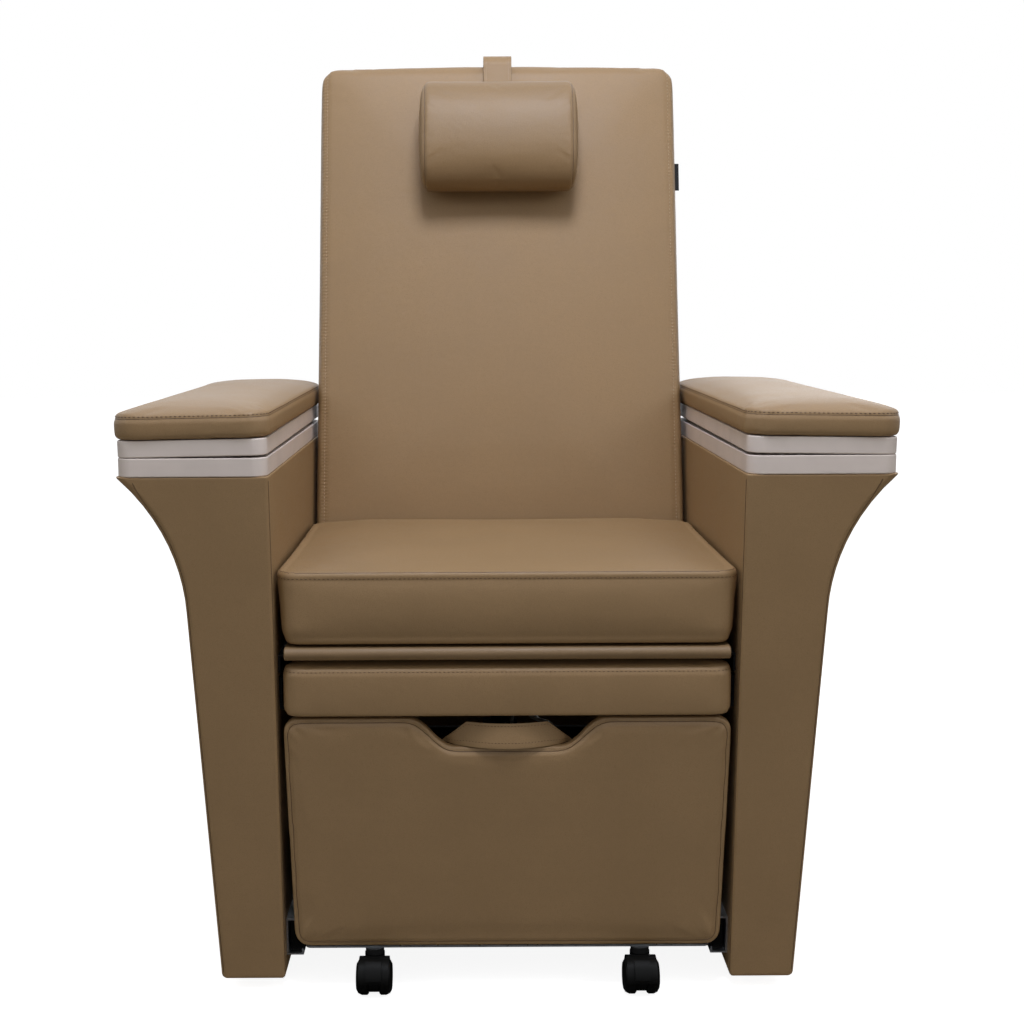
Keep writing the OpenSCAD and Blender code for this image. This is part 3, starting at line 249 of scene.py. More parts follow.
def by_ray(tree, plain, mirrored, shown, target):
    """Gives one shader to the camera, one to reflections and one to all other rays."""
    rays = tree.nodes.new("ShaderNodeLightPath")
    mirror = tree.nodes.new("ShaderNodeMath")
    mirror.operation = "MAXIMUM"
    tree.links.new(rays.outputs["Is Glossy Ray"], mirror.inputs[0])
    tree.links.new(rays.outputs["Is Transmission Ray"], mirror.inputs[1])
    for seen, shader in ((mirror.outputs[0], mirrored), (rays.outputs["Is Camera Ray"], shown)):
        mix = tree.nodes.new("ShaderNodeMixShader")
        tree.links.new(seen, mix.inputs[0])
        tree.links.new(plain, mix.inputs[1])
        tree.links.new(shader, mix.inputs[2])
        plain = mix.outputs[0]
    tree.links.new(plain, target)


def background(tree, strength=None):
    light = tree.nodes.new("ShaderNodeBackground")
    light.inputs["Color"].default_value = WHITE
    if strength:
        tree.links.new(strength, light.inputs["Strength"])
    return light


def faded(tree, value, low, high, bright):
    """A strength that rises smoothly from 0 at low to bright at high."""
    fade = tree.nodes.new("ShaderNodeMapRange")
    fade.interpolation_type = "SMOOTHSTEP"
    tree.links.new(value, fade.inputs["Value"])
    for socket, number in (("From Min", low), ("From Max", high), ("To Max", bright)):
        fade.inputs[socket].default_value = number
    return fade.outputs[0]


world = bpy.data.worlds.new("studio")
scene.world = world
world.use_nodes = True
sky = world.node_tree
sky.nodes.clear()
fill_light = background(sky)
fill_light.inputs["Strength"].default_value = FILL
towards = sky.nodes.new("ShaderNodeSeparateXYZ")
direction = sky.nodes.new("ShaderNodeTexCoord").outputs["Generated"]
sky.links.new(direction, towards.inputs[0])
behind = faded(sky, towards.outputs["Y"], -0.2, 0.3, 1.0)
above = faded(sky, towards.outputs["Z"], -0.05, 0.45, 1.4)
brighter = sky.nodes.new("ShaderNodeMath")
brighter.operation = "MAXIMUM"
sky.links.new(behind, brighter.inputs[0])
sky.links.new(above, brighter.inputs[1])
studio = background(sky, brighter.outputs[0])
studio.inputs["Color"].default_value = STUDIO_TINT
sky_end = sky.nodes.new("ShaderNodeOutputWorld")
by_ray(sky, fill_light.outputs[0], studio.outputs[0], background(sky).outputs[0],
       sky_end.inputs["Surface"])

floor_finish = Finish("floor_white", base_color=(0.8, 0.8, 0.8, 1.0), roughness=1.0)
floor_finish.feed("Specular IOR Level", 0.0)
floor_tree = floor_finish.tree
glow = floor_tree.nodes.new("ShaderNodeEmission")
glow.inputs["Strength"].default_value = FLOOR_GLOW
both = floor_tree.nodes.new("ShaderNodeAddShader")
floor_tree.links.new(floor_finish.shader.outputs[0], both.inputs[0])
floor_tree.links.new(glow.outputs[0], both.inputs[1])
greys = []
for shade in (FLOOR_BOUNCE, FLOOR_MIRRORED):
    grey = floor_tree.nodes.new("ShaderNodeBsdfDiffuse")
    grey.inputs["Color"].default_value = shade
    greys.append(grey.outputs[0])
floor_end = floor_tree.nodes["Material Output"].inputs["Surface"]
by_ray(floor_tree, greys[0], greys[1], both.outputs[0], floor_end)

floor_mesh = bpy.data.meshes.new("floor")
floor_bm = bmesh.new()
bmesh.ops.create_grid(floor_bm, x_segments=1, y_segments=1, size=FLOOR_HALF)
floor_bm.to_mesh(floor_mesh)
floor_bm.free()
floor = bpy.data.objects.new("floor", floor_mesh)
floor_mesh.materials.append(floor_finish.material)
scene.collection.objects.link(floor)
scene.view_settings.view_transform = "Standard"

# %% [markdown]
# The cover is coated upholstery leather in a warm taupe. Close up it has a fine pebble of about a
# millimetre and a half, with darker valleys, and over a hand's width the tone drifts a little.
# Its gloss is a broad satin one. Voronoi edges make the pebble and noise makes the drift. The
# head pillow and the thin board under the seat get darker copies of the same leather: painted
# shade.

# %% Leather and thread
LEATHER = colour(158, 128, 90)
PEBBLE = 1.5 * MM
PUCKER_PITCH = 5.5 * MM
PUCKER_DEPTH = 0.14 * MM
PEBBLE_DEPTH = 0.07 * MM
GRAIN_DEPTH = 0.25 * MM


def leather_finish(name, shade, puckers=None):
    """Leather. For gathers, puckers gives a mask and a length along the seam for a finish."""
    finish = Finish(name, specular_ior_level=0.5)
    place = finish.place()
    drift = finish.noise(place, 120 * MM, 3.0)
    fine = finish.noise(place, 9 * MM, 3.0)
    valley = finish.cells(place, PEBBLE)
    pebble = finish.between(valley, 0.0, 0.16)
    tone = drift * 0.7 + fine * 0.3
    cloudy = finish.mix(finish.between(tone, 0.3, 0.7), scaled(shade, 0.95), scaled(shade, 1.05))
    valleys = finish.mix(pebble, scaled(shade, 0.86), cloudy)
    finish.feed("Base Color", valleys)
    finish.feed("Roughness", finish.between(tone, 0.2, 0.8, 0.42, 0.52))
    height = pebble * PEBBLE_DEPTH + fine * GRAIN_DEPTH
    if puckers:
        mask, along = puckers(finish)
        turn = along * (math.tau / PUCKER_PITCH)
        height = height + turn.maths("SINE", turn) * mask * PUCKER_DEPTH
    finish.bump(height, 1.0, 0.9)
    return finish.material


leather = leather_finish("taupe_leather", LEATHER)
# A darker copy of the same leather for the head pillow: painted shade.
pillow_leather_painted_shade = leather_finish("pillow_leather_painted_shade", scaled(LEATHER, 0.85))
# A darker copy still for the board under the seat: painted shade under the seat's overhang.
board_leather_painted_shade = leather_finish("board_leather_painted_shade", scaled(LEATHER, 0.72))
# Dark leather for the seam cords: painted shadow of the fold in each seam.
seam_painted_shadow = leather_finish("seam_shadow", colour(96, 72, 47))


def thread_finish(name, shade):
    """Twisted polyester thread: the twist is a fine stripe across the stitch."""
    finish = Finish(name, roughness=0.55)
    twist = finish.noise(finish.place(), 0.7 * MM)
    finish.feed("Base Color", finish.mix(twist, scaled(shade, 0.8), scaled(shade, 1.2)))
    finish.bump(twist, 0.1 * MM)
    return finish.material


thread_dark = thread_finish("thread_brown", colour(92, 68, 45))
# A paler copy of the thread for the lit back and strap: painted light.
thread_painted_light = thread_finish("thread_sand_painted_light", colour(186, 164, 136))

# %% [markdown]
# The hard pieces each have one finish. The record says which slot a node belongs to, so one
# function a slot and one loop dress them all. Zinc plate is metal with fine rolling marks, the
# arm rims are a satin moulding, and the boards show plies on their edges. A wave texture repeats
# after WAVE_SPAN over its scale, so plies and yarns can be given in metres. The leg rest's runners
# and the drawer's inside get black finishes as painted shade, so that nothing gleams beside the
# cushion or through the hand cut-out.

# %% Finishes of the hard pieces
WAVE_SPAN = 0.31
PLY = 2.4 * MM
YARN = 0.8 * MM


def moulded(name, shade, rough, speckle, gloss=0.5):
    finish = Finish(name, specular_ior_level=gloss)
    place = finish.place()
    cloud = finish.noise(place, 60 * MM, 3.0)
    sand = finish.noise(place, speckle, 2.0)
    tone = finish.between(cloud, 0.3, 0.7)
    finish.feed("Base Color", finish.mix(tone, scaled(shade, 0.96), scaled(shade, 1.04)))
    finish.feed("Roughness", finish.between(sand, 0.3, 0.7, rough - 0.06, rough + 0.06))
    finish.bump(sand, 0.05 * MM, 0.6)
    return finish.material


def plated(name, shade, rough):
    finish = Finish(name, metallic=1.0)
    lines = finish.noise(finish.stretched((0.2, 0.02, 1.0)), 1.2 * MM, 3.0)
    cloud = finish.noise(finish.place(), 25 * MM, 4.0)
    finish.feed("Base Color", finish.mix(cloud, scaled(shade, 0.85), scaled(shade, 1.1)))
    finish.feed("Roughness", finish.between(lines, 0.2, 0.8, rough - 0.08, rough + 0.12))
    finish.bump(lines, 0.03 * MM, 0.5)
    return finish.material


def plywood_finish():
    finish = Finish("birch_plywood", specular_ior_level=0.35)
    long_grain = finish.noise(finish.stretched((0.12, 0.9, 0.9)), 14 * MM, 6.0)
    plies = finish.node("ShaderNodeTexWave", {"bands_direction": "Z"},
                        {"Vector": finish.place(), "Scale": WAVE_SPAN / PLY, "Distortion": 0.6})
    tone = long_grain * 0.75 + plies * 0.25
    finish.feed("Base Color", finish.mix(tone, colour(160, 122, 80), colour(208, 174, 128)))
    finish.feed("Roughness", finish.between(tone, 0.2, 0.8, 0.55, 0.7))
    finish.bump(long_grain, 0.2 * MM, 0.6)
    return finish.material


def woven_finish():
    finish = Finish("woven_black", roughness=0.85)
    sockets = {"Vector": finish.place(), "Scale": WAVE_SPAN / YARN}
    weft = finish.node("ShaderNodeTexWave", {"bands_direction": "Z"}, sockets)
    warp = finish.node("ShaderNodeTexWave", {"bands_direction": "X"}, sockets)
    cloth = weft * 0.6 + warp * 0.4
    finish.feed("Base Color", finish.mix(cloth, colour(12, 12, 14), colour(34, 34, 38)))
    finish.bump(cloth, 0.2 * MM)
    return finish.material


finishes = {
    "leather": leather,
    "rim_plastic": moulded("rim_grey", colour(230, 218, 211), 0.4, 0.9 * MM),
    "bright_steel": plated("zinc_plate", colour(205, 207, 210), 0.33),
    "dark_paint": moulded("black_powder_coat", colour(26, 26, 26), 0.48, 0.7 * MM, 0.2),
    "black_plastic": moulded("black_moulding", colour(14, 14, 13), 0.46, 0.6 * MM, 0.09),
    "tread": moulded("wheel_black", colour(12, 12, 11), 0.42, 0.5 * MM, 0.09),
    "grey_cable": moulded("grey_sheath", colour(222, 224, 221), 0.45, 0.5 * MM),
    "plywood": plywood_finish(),
    "woven_tag": woven_finish(),
}
slot_of = {part["node"]: part["material_slot"] for part in frame["record"]["subparts"]}
body_of = {node: thing["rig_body"] for node, thing in nodes.items()}
# Black plating on the runners stands in for the shade beside the leg rest's cushion: painted shade.
black_zinc_painted_shade = plated("black_zinc_painted_shade", colour(46, 46, 48), 0.5)
finish_of = {node: finishes[slot] for node, slot in slot_of.items()}
for node in ("runner_outers", "runner_middles", "runner_inners", "rest_plates"):
    finish_of[node] = black_zinc_painted_shade
# The black board for the drawer's inside stands in for the dark seen through the hand cut-out:
# painted shade.
black_board_painted_shade = moulded("black_board_painted_shade", colour(24, 23, 22), 0.6, 1.2 * MM, 0.2)
for node in ("drawer_back", "drawer_sides", "drawer_floor"):
    finish_of[node] = black_board_painted_shade
for node, thing in nodes.items():
    thing.data.materials.clear()
    thing.data.materials.append(finish_of[node])
print("finishes", sorted(finishes))

# %% [markdown]
# A shape is finished the same way each time: the mesh goes to an object at the origin, smooth
# where it curves and sharp where it breaks, and the object rides on its body.

# %% Helpers for finished pieces
WELD = 0.005 * MM
FLAT = math.radians(0.4)


def stored(bm, name, material, body, replaced=(), sharp=40):
    """Turns a bmesh into a piece of the chair."""
    limit = math.radians(sharp)
    for face in bm.faces:
        face.smooth = True
    for edge in bm.edges:
        edge.smooth = not edge.is_manifold or edge.calc_face_angle() < limit
    mesh = bpy.data.meshes.new(name)
    bm.to_mesh(mesh)
    bm.free()
    mesh.materials.append(material)
    piece = bpy.data.objects.new(name, mesh)
    scene.collection.objects.link(piece)
    settled(piece, body, replaced)
    return piece


def settled(piece, body, replaced=()):
    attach(piece, body)
    if replaced:
        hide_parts(*replaced)


def merged(node):
    """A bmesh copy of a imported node, its loose triangles joined up."""
    bm = bmesh.new()
    bm.from_mesh(nodes[node].data)
    bmesh.ops.remove_doubles(bm, verts=bm.verts, dist=WELD)
    return bm


def eased(node, ease, steps=2, sharp=35, bend=40):
    """A copy of a hard piece with its edges rounded over, which stands for the piece.

    Its normals are weighted by area, so that flat faces look flat up to their rounded edges.
    """
    bm = merged(node)
    bmesh.ops.dissolve_limit(bm, angle_limit=FLAT, verts=bm.verts, edges=bm.edges)
    if ease:
        limit = math.radians(sharp)
        hard = [e for e in bm.edges if e.is_manifold and e.calc_face_angle() > limit]
        bmesh.ops.bevel(bm, geom=hard, offset=ease, segments=steps, profile=0.5, affect="EDGES",
                        clamp_overlap=False, material=-1)
    slot = slot_of[node]
    piece = stored(bm, node + "_eased", finishes[slot], body_of[node], [node], bend)
    flat = piece.modifiers.new("flat_faces", "WEIGHTED_NORMAL")
    flat.keep_sharp = True
    return piece


# %% [markdown]
# Seams and stitches follow lines on finished surfaces. Cutting a copy of the surface with a plane
# gives such a line in order, whatever the shape has become. The line is then thinned to even steps,
# pressed into the leather, and given its thread: one small bead for each stitch.

# %% Helpers for seams
SEAM_STEP = 3 * MM
SEAM_THICK = 0.6 * MM
PAD_SEAM_THICK = 0.5 * MM
SUNK = -0.2 * MM
PROUD = 0.2 * MM
RAY_START = 40 * MM
BEAD_HEIGHT = 0.45


class Surface:
    """A finished mesh that lines can be laid on."""

    def __init__(self, piece):
        self.bm = bmesh.new()
        self.bm.from_mesh(piece.data)
        self.tree = BVHTree.FromBMesh(self.bm)

    def nearest(self, point):
        place, normal, _, _ = self.tree.find_nearest(point)
        return place, normal

    def hit(self, start, direction):
        place, normal, _, _ = self.tree.ray_cast(start, direction)
        return place, normal

    def cut(self, point, across):
        """The closed lines where a plane cuts the surface."""
        bm = self.bm.copy()
        geom = bm.verts[:] + bm.edges[:] + bm.faces[:]
        got = bmesh.ops.bisect_plane(bm, geom=geom, dist=1e-7, plane_co=point, plane_no=across)
        joined = {}
        for edge in got["geom_cut"]:
            if isinstance(edge, bmesh.types.BMEdge):
                a, b = edge.verts
                joined.setdefault(a, []).append(b)
                joined.setdefault(b, []).append(a)
        lines = []
        while joined:
            vert = min(joined, key=lambda v: tuple(v.co))
            line = [vert.co.copy()]
            while joined.get(vert):
                after = joined[vert].pop()
                joined[after].remove(vert)
                if not joined[vert]:
                    del joined[vert]
                vert = after
                line.append(vert.co.copy())
            joined.pop(vert, None)
            if len(line) > 3:
                lines.append(line)
        bm.free()
        return sorted(lines, key=lambda line: -len(line))


def part_of(line, wanted):
    """The longest run of a closed line whose points are wanted."""
    ring = line[:-1]
    keep = [bool(wanted(p)) for p in ring]
    if all(keep):
        return ring + [ring[0]]
    start = keep.index(False)
    ring = ring[start:] + ring[:start]
    keep = keep[start:] + keep[:start]
    best, run = [], []
    for point, good in zip(ring + ring[:1], keep + [False]):
        if good:
            run.append(point)
            continue
        best = max(best, run, key=len)
        run = []
    return best


def even(line, step, smooth=2):
    """The same line in even steps, with its small wobbles smoothed out."""
    closed = (line[0] - line[-1]).length < 1e-6
    lengths = [0.0]
    for a, b in zip(line, line[1:]):
        lengths.append(lengths[-1] + (b - a).length)
    count = max(2, round(lengths[-1] / step))
    made, k = [], 0
    for i in range(count + 1):
        at = lengths[-1] * i / count
        while k < len(line) - 2 and lengths[k + 1] < at:
            k += 1
        share = (at - lengths[k]) / max(lengths[k + 1] - lengths[k], 1e-9)
        made.append(line[k].lerp(line[k + 1], min(max(share, 0.0), 1.0)))
    for _ in range(smooth):
        last = len(made) - 1
        fresh = [(made[i - 1] + made[i] * 2 + made[i + 1]) / 4 for i in range(1, last)]
        ends = [(made[-2] + made[0] * 2 + made[1]) / 4] if closed else [made[0]]
        made = ends + fresh + (ends if closed else [made[-1]])
    return made


def laid(surface, line, lift=0.0):
    """The line's points moved on to the surface, each with the surface's normal."""
    spots = []
    for point in line:
        place, normal = surface.nearest(point)
        spots.append((place + normal * lift, normal))
    return spots


def pressed(piece, lines, depth, reach):
    """Presses the surface in along lines, as a tight seam does."""
    points = [p for line in lines for p in line]
    tree = KDTree(len(points))
    for i, point in enumerate(points):
        tree.insert(point, i)
    tree.balance()
    normals = [v.normal.copy() for v in piece.data.vertices]
    for vertex, normal in zip(piece.data.vertices, normals):
        away = tree.find(vertex.co)[2]
        if away < reach:
            vertex.co -= normal * depth * (1 - (away / reach) ** 2) ** 2
    piece.data.update()


def stitched(name, runs, material, body, long=4.2 * MM, pitch=6 * MM, wide=1.1 * MM):
    """One bead of thread for each stitch along runs of (place, normal)."""
    bm = bmesh.new()
    for run in runs:
        places = [p for p, _ in run]
        gone, due = 0.0, pitch / 2
        for i in range(len(places) - 1):
            step = (places[i + 1] - places[i]).length
            while step > 1e-9 and gone + step >= due:
                share = (due - gone) / step
                along = (places[i + 1] - places[i]).normalized()
                out = run[i][1]
                side = out.cross(along).normalized()
                turn = Matrix((along, side, out)).transposed().to_4x4()
                size = Matrix.Diagonal((long / 2, wide / 2, wide * BEAD_HEIGHT, 1.0))
                place = Matrix.Translation(places[i].lerp(places[i + 1], share))
                bmesh.ops.create_icosphere(bm, subdivisions=1, radius=1, matrix=place @ turn @ size)
                due += pitch
            gone += step
    return stored(bm, name, material, body, sharp=180)


def corded(name, runs, radius, material, body, sides=6):
    """A thin round line, such as a seam or a piping, along runs of (place, normal)."""
    bm = bmesh.new()
    for run in runs:
        places = [p for p, _ in run]
        closed = (places[0] - places[-1]).length < 1e-6
        if closed:
            places = places[:-1]
        first, last = None, None
        for i, point in enumerate(places):
            before = places[i - 1] if closed or i else point
            after = places[(i + 1) % len(places)] if closed or i < len(places) - 1 else point
            along = (after - before).normalized()
            out = run[i][1]
            side = out.cross(along).normalized()
            turn = Matrix((side, along.cross(side), along)).transposed().to_4x4()
            where = Matrix.Translation(point) @ turn
            ring = bmesh.ops.create_circle(bm, segments=sides, radius=radius, matrix=where,
                                           cap_ends=not closed and i in (0, len(places) - 1))
            edges = list(dict.fromkeys(e for v in ring["verts"] for e in v.link_edges))
            if last:
                bmesh.ops.bridge_loops(bm, edges=last + edges)
            first = first or edges
            last = edges
        if closed:
            bmesh.ops.bridge_loops(bm, edges=last + first)
    bmesh.ops.recalc_face_normals(bm, faces=bm.faces)
    return stored(bm, name, material, body, sharp=60)


# %% [markdown]
# Upholstery swells between its seams. Each cushion starts as a copy of its stand-in, a little
# smaller and remeshed into even squares. Its underside and the lines of its seams are held, and
# cloth with air pressure inside fills the panels between them. How far a point may move is
# limited, so the cushion keeps the room that the frame gives it.

# %% Helpers for the cushions
PRESSURE = 4.0
LAST_FRAME = 20


def applied(piece):
    """Replaces the piece's mesh by what its modifiers make of it."""
    shape = bpy.data.meshes.new_from_object(
        piece.evaluated_get(bpy.context.evaluated_depsgraph_get()))
    piece.modifiers.clear()
    piece.data = shape
    return piece


def blank(name, node, voxel, shrink, smooth=2):
    """The cushion's starting shape: its stand-in remeshed, smoothed and drawn in by shrink."""
    mesh = bpy.data.meshes.new(name)
    bm = merged(node)
    bm.to_mesh(mesh)
    bm.free()
    piece = bpy.data.objects.new(name, mesh)
    scene.collection.objects.link(piece)
    remesh = piece.modifiers.new("remesh", "REMESH")
    remesh.mode = "VOXEL"
    remesh.voxel_size = voxel
    applied(piece)
    bm = bmesh.new()
    bm.from_mesh(piece.data)
    for _ in range(smooth):
        bmesh.ops.smooth_vert(bm, verts=bm.verts, factor=0.5, use_axis_x=True, use_axis_y=True,
                              use_axis_z=True)
    bm.normal_update()
    for vertex in bm.verts:
        vertex.co -= vertex.normal * shrink
    bm.to_mesh(piece.data)
    bm.free()
    piece.vertex_groups.clear()
    return piece


def inflatable(piece, held):
    """Adds the cloth. held says how firmly each point is held, from 0 to 1."""
    group = piece.vertex_groups.new(name="held")
    for vertex in piece.data.vertices:
        weight = float(held(vertex.co, vertex.normal))
        if weight > 0:
            group.add([vertex.index], min(weight, 1.0), "REPLACE")
    cloth = piece.modifiers.new("cloth", "CLOTH")
    cloth.settings.quality = 5
    cloth.settings.tension_stiffness = 30
    cloth.settings.compression_stiffness = 30
    cloth.settings.bending_stiffness = 3
    cloth.settings.use_pressure = True
    cloth.settings.uniform_pressure_force = PRESSURE
    cloth.settings.effector_weights.gravity = 0
    cloth.settings.vertex_group_mass = "held"
    cloth.point_cache.frame_start = 1
    cloth.point_cache.frame_end = LAST_FRAME


def swollen(piece, cap):
    """Takes the cloth's result, no point further than cap from its start, and smooths it."""
    rest = [v.co.copy() for v in piece.data.vertices]
    shape = bpy.data.meshes.new_from_object(
        piece.evaluated_get(bpy.context.evaluated_depsgraph_get()))
    for vertex, start in zip(shape.vertices, rest):
        move = vertex.co - start
        if move.length > 1e-9:
            vertex.co = start + move.normalized() * cap * math.tanh(move.length / cap)
    piece.modifiers.clear()
    piece.data = shape
    finer(piece)


def finer(piece):
    """Divides each face in four and smooths the shape."""
    divide = piece.modifiers.new("finer", "SUBSURF")
    divide.levels = 1
    divide.render_levels = 1
    applied(piece)
    piece.data.polygons.foreach_set("use_smooth", [True] * len(piece.data.polygons))
    piece.data.materials.clear()


def wider(point, half, by):
    """A point of a cushion moved sideways, by up to by at the cushion's own side."""
    out = min(max((abs(point.x) / half - 0.8) / 0.2, 0.0), 1.0)
    return point + Vector((math.copysign(by * out * out, point.x), 0, 0))


def band(value, middle, half):
    """1 on a line and 0 from half away, for holding a seam."""
    return max(0.0, 1.0 - abs(value - middle) / half)


# %% [markdown]
# The back leans and the drawer front is raked, so measures on them are taken along their own
# directions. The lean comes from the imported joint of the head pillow, which slides up the back.
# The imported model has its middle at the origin, while its source counts depth from the arms'
# fronts, so a depth of the source has ROW_MIDDLE millimetres taken off.

# %% Directions on the back and on the drawer front
joints = {joint["name"]: joint for joint in frame["joints"]}
back_up = Vector(joints["pillow_slide"]["axis"]).normalized()
back_out = Vector((0, -back_up.z, back_up.y))
cushion_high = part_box("back_cushion")[1]
BACK_LOW = Vector((0, 113.563, 542.597)) * MM
RAKE = math.radians(4)
front_up = Vector((0, -math.sin(RAKE), math.cos(RAKE)))
front_out = Vector((0, -math.cos(RAKE), -math.sin(RAKE)))
ROW_MIDDLE = 386.616
FRONT_LOW = Vector((0, 47.2 - ROW_MIDDLE, 65)) * MM


def on_back(point):
    """How far up the back and how far out of its front plane a point is."""
    return (point - BACK_LOW).dot(back_up), (point - BACK_LOW).dot(back_out)


def on_front(point):
    """The same on the raked front of the drawer."""
    return (point - FRONT_LOW).dot(front_up), (point - FRONT_LOW).dot(front_out)


# %% [markdown]
# Eight padded pieces are blown up together, because one walk through the frames then serves them
# all. The seat and the leg rest are boxed cushions, with one seam round the top edge. The back has
# a stitched line along each side of its front. The arm pads have a seam round their tops, the head
# pillow one round each end, and the drawer front a piping inside its border. A recipe gives the
# piece, its stand-in, three sizes in millimetres (of the squares, of the drawing in, and of the
# furthest swelling), and what is held.

# %% Cushions
seat_low, seat_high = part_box("seat_cushion")
rest_low, rest_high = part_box("rest_cushion")
SEAT_SEAM = seat_low.z + 100 * MM
REST_SEAM = rest_high.z - 11.5 * MM
BACK_SEAM = cushion_high.x - 12 * MM
PAD_SEAM_DOWN = 9.5 * MM
PILLOW_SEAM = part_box("head_pillow")[1].x - 9 * MM
HELD = 6 * MM
PAD_HELD = 5 * MM
PILLOW_HELD = 4 * MM


def underside(node):
    """The plane of a tilted cushion's flat underside: a point and its outward normal."""
    low = [p for p in nodes[node].data.polygons if p.normal.z < -0.99]
    area = sum(p.area for p in low)
    middle = sum((p.center * p.area for p in low), Vector()) / area
    normal = sum((p.normal * p.area for p in low), Vector()).normalized()
    return middle, normal


pad_plane = {side: underside(side + "_arm_pad") for side in ("left", "right")}
PAD_THICK = 38 * MM
PAD_SEAM_UP = PAD_THICK - PAD_SEAM_DOWN


def pad_height(side, point):
    """How far a point is above the underside of an arm pad."""
    middle, down = pad_plane[side]
    return (middle - point).dot(down)


def seat_held(p, n):
    return max(p.z < seat_low.z + 10 * MM, band(p.z, SEAT_SEAM, HELD), n.y > 0.8)


def rest_held(p, n):
    return max(n.z < -0.4, band(p.z, REST_SEAM, HELD), p.z < rest_low.z + 5 * MM)


def back_held(p, n):
    up, out = on_back(p)
    in_seam = band(abs(p.x), BACK_SEAM, HELD) if out > -12 * MM else 0
    return max(out < -50 * MM, in_seam, up < 8 * MM)


def pad_held(side):
    return lambda p, n: max(pad_height(side, p) < PAD_HELD,
                            band(pad_height(side, p), PAD_SEAM_UP, PAD_HELD))


def pillow_held(p, n):
    return max(n.dot(back_out) < -0.8, band(abs(p.x), PILLOW_SEAM, PILLOW_HELD))


def pouch_held(p, n):
    return n.dot(back_out) > 0.6


def drawer_held(p, n):
    return on_front(p)[1] < -5 * MM


cushions = {}
recipes = [
    ("seat_cover", "seat_cushion", 6, 0.6, 4.0, seat_held),
    ("leg_rest_cover", "rest_cushion", 5, 0.4, 2.0, rest_held),
    ("back_cover", "back_cushion", 7, 0.6, 5.0, back_held),
    ("left_arm_pad_cover", "left_arm_pad", 5, 0.4, 4.0, pad_held("left")),
    ("right_arm_pad_cover", "right_arm_pad", 5, 0.4, 4.0, pad_held("right")),
    ("pillow_cover", "head_pillow", 4, 0.4, 4.0, pillow_held),
    ("pouch_cover", "counterweight", 4, 0.5, 2.0, pouch_held),
    ("drawer_front_cover", "drawer_front", 4, 0.2, 1.5, drawer_held),
]
for name, node, voxel, shrink, cap, held in recipes:
    piece = blank(name, node, voxel * MM, shrink * MM)
    inflatable(piece, held)
    cushions[name] = piece
    print(name, len(piece.data.vertices), "points")

for number in range(1, LAST_FRAME + 1):
    scene.frame_set(number)
for name, node, voxel, shrink, cap, held in recipes:
    piece = cushions[name]
    swollen(piece, cap * MM)
scene.frame_set(1)

SEAT_SPREAD = 6 * MM
for vertex in cushions["seat_cover"].data.vertices:
    up = min(max((vertex.co.z - seat_low.z) / (SEAT_SEAM - seat_low.z), 0.0), 1.0)
    vertex.co = wider(vertex.co, seat_high.x, SEAT_SPREAD * up * up)

BACK_SPREAD = 7 * MM
BACK_LENGTH = (cushion_high - BACK_LOW).dot(back_up)
BACK_ROUND = 14 * MM


def back_wider(point):
    """The back is fuller low down, where it fills the room between the arms."""
    up = min(max(on_back(point)[0] / BACK_LENGTH, 0.0), 1.0)
    return wider(point, cushion_high.x, BACK_SPREAD * (1 - up))


# %% [markdown]
# The seams go on once the shapes are final. The seat is a boxed cushion: the seam that joins its
# top to its side is its top edge, and stands up as a crisp ridge with a row of brown thread below
# it. Its lower edge is as crisp, and shades the board under it. The leg rest has only a row of
# topstitching.

# %% Seams of the seat and the leg rest


def dressed(name, node, material=leather):
    piece = cushions[name]
    piece.data.materials.append(material)
    settled(piece, body_of[node], [node])
    return Surface(piece)


def level_seam(name, height, wanted, depth, reach):
    """A seam at one height round a cushion: presses it in, or lifts it, and gives its line."""
    piece = cushions[name]
    surface = Surface(piece)
    ring = surface.cut(Vector((0, 0, height)), Vector((0, 0, 1)))[0]
    line = even(part_of(ring, wanted), SEAM_STEP)
    pressed(piece, [line], depth, reach)
    return line


def shifted(line, move):
    return [p + move for p in line]


def seat_front_part(point):
    return point.y < seat_high.y - 40 * MM


def rest_front_part(point):
    return point.y < rest_high.y - 20 * MM


SEAT_HEM = seat_low.z + 7 * MM
RIDGE_RAISED, HEM_RAISED = -3.4 * MM, -2.6 * MM
RIDGE_REACH = 9 * MM
seat_ring = level_seam("seat_cover", SEAT_SEAM, seat_front_part, RIDGE_RAISED, RIDGE_REACH)
level_seam("seat_cover", SEAT_HEM, seat_front_part, HEM_RAISED, RIDGE_REACH)
rest_ring = level_seam("leg_rest_cover", REST_SEAM, rest_front_part, 0.8 * MM, 6 * MM)
seat_skin = dressed("seat_cover", "seat_cushion")
rest_skin = dressed("leg_rest_cover", "rest_cushion")
seat_seam = laid(seat_skin, seat_ring, SUNK)
corded("seat_seam", [seat_seam], SEAM_THICK, seam_painted_shadow, "base")
THREAD_DROP = Vector((0, 0, -5 * MM))
seat_row = laid(seat_skin, shifted(seat_ring, THREAD_DROP), 0.25 * MM)
stitched("seat_stitching", [seat_row], thread_dark, "base")
rest_row = laid(rest_skin, rest_ring, PROUD)
stitched("leg_rest_stitching", [rest_row], thread_dark, "leg_rest", wide=0.9 * MM)
print("seat seam", round(sum((a - b).length for a, b in zip(seat_ring, seat_ring[1:])), 2), "m")

# %% [markdown]
# The back's front panel is topstitched along both sides, close to the edge, with the thread painted
# paler as painted light, and the leather between the thread and the edge gathers in fine puckers.
# The puckers are too fine for the mesh, so they are a bump in the back's own finish, placed by
# Object coordinates.

# %% The back
GATHERS_FADE, GATHERS_FULL = 17 * MM, 11 * MM
GATHERS_OUTER = 5 * MM


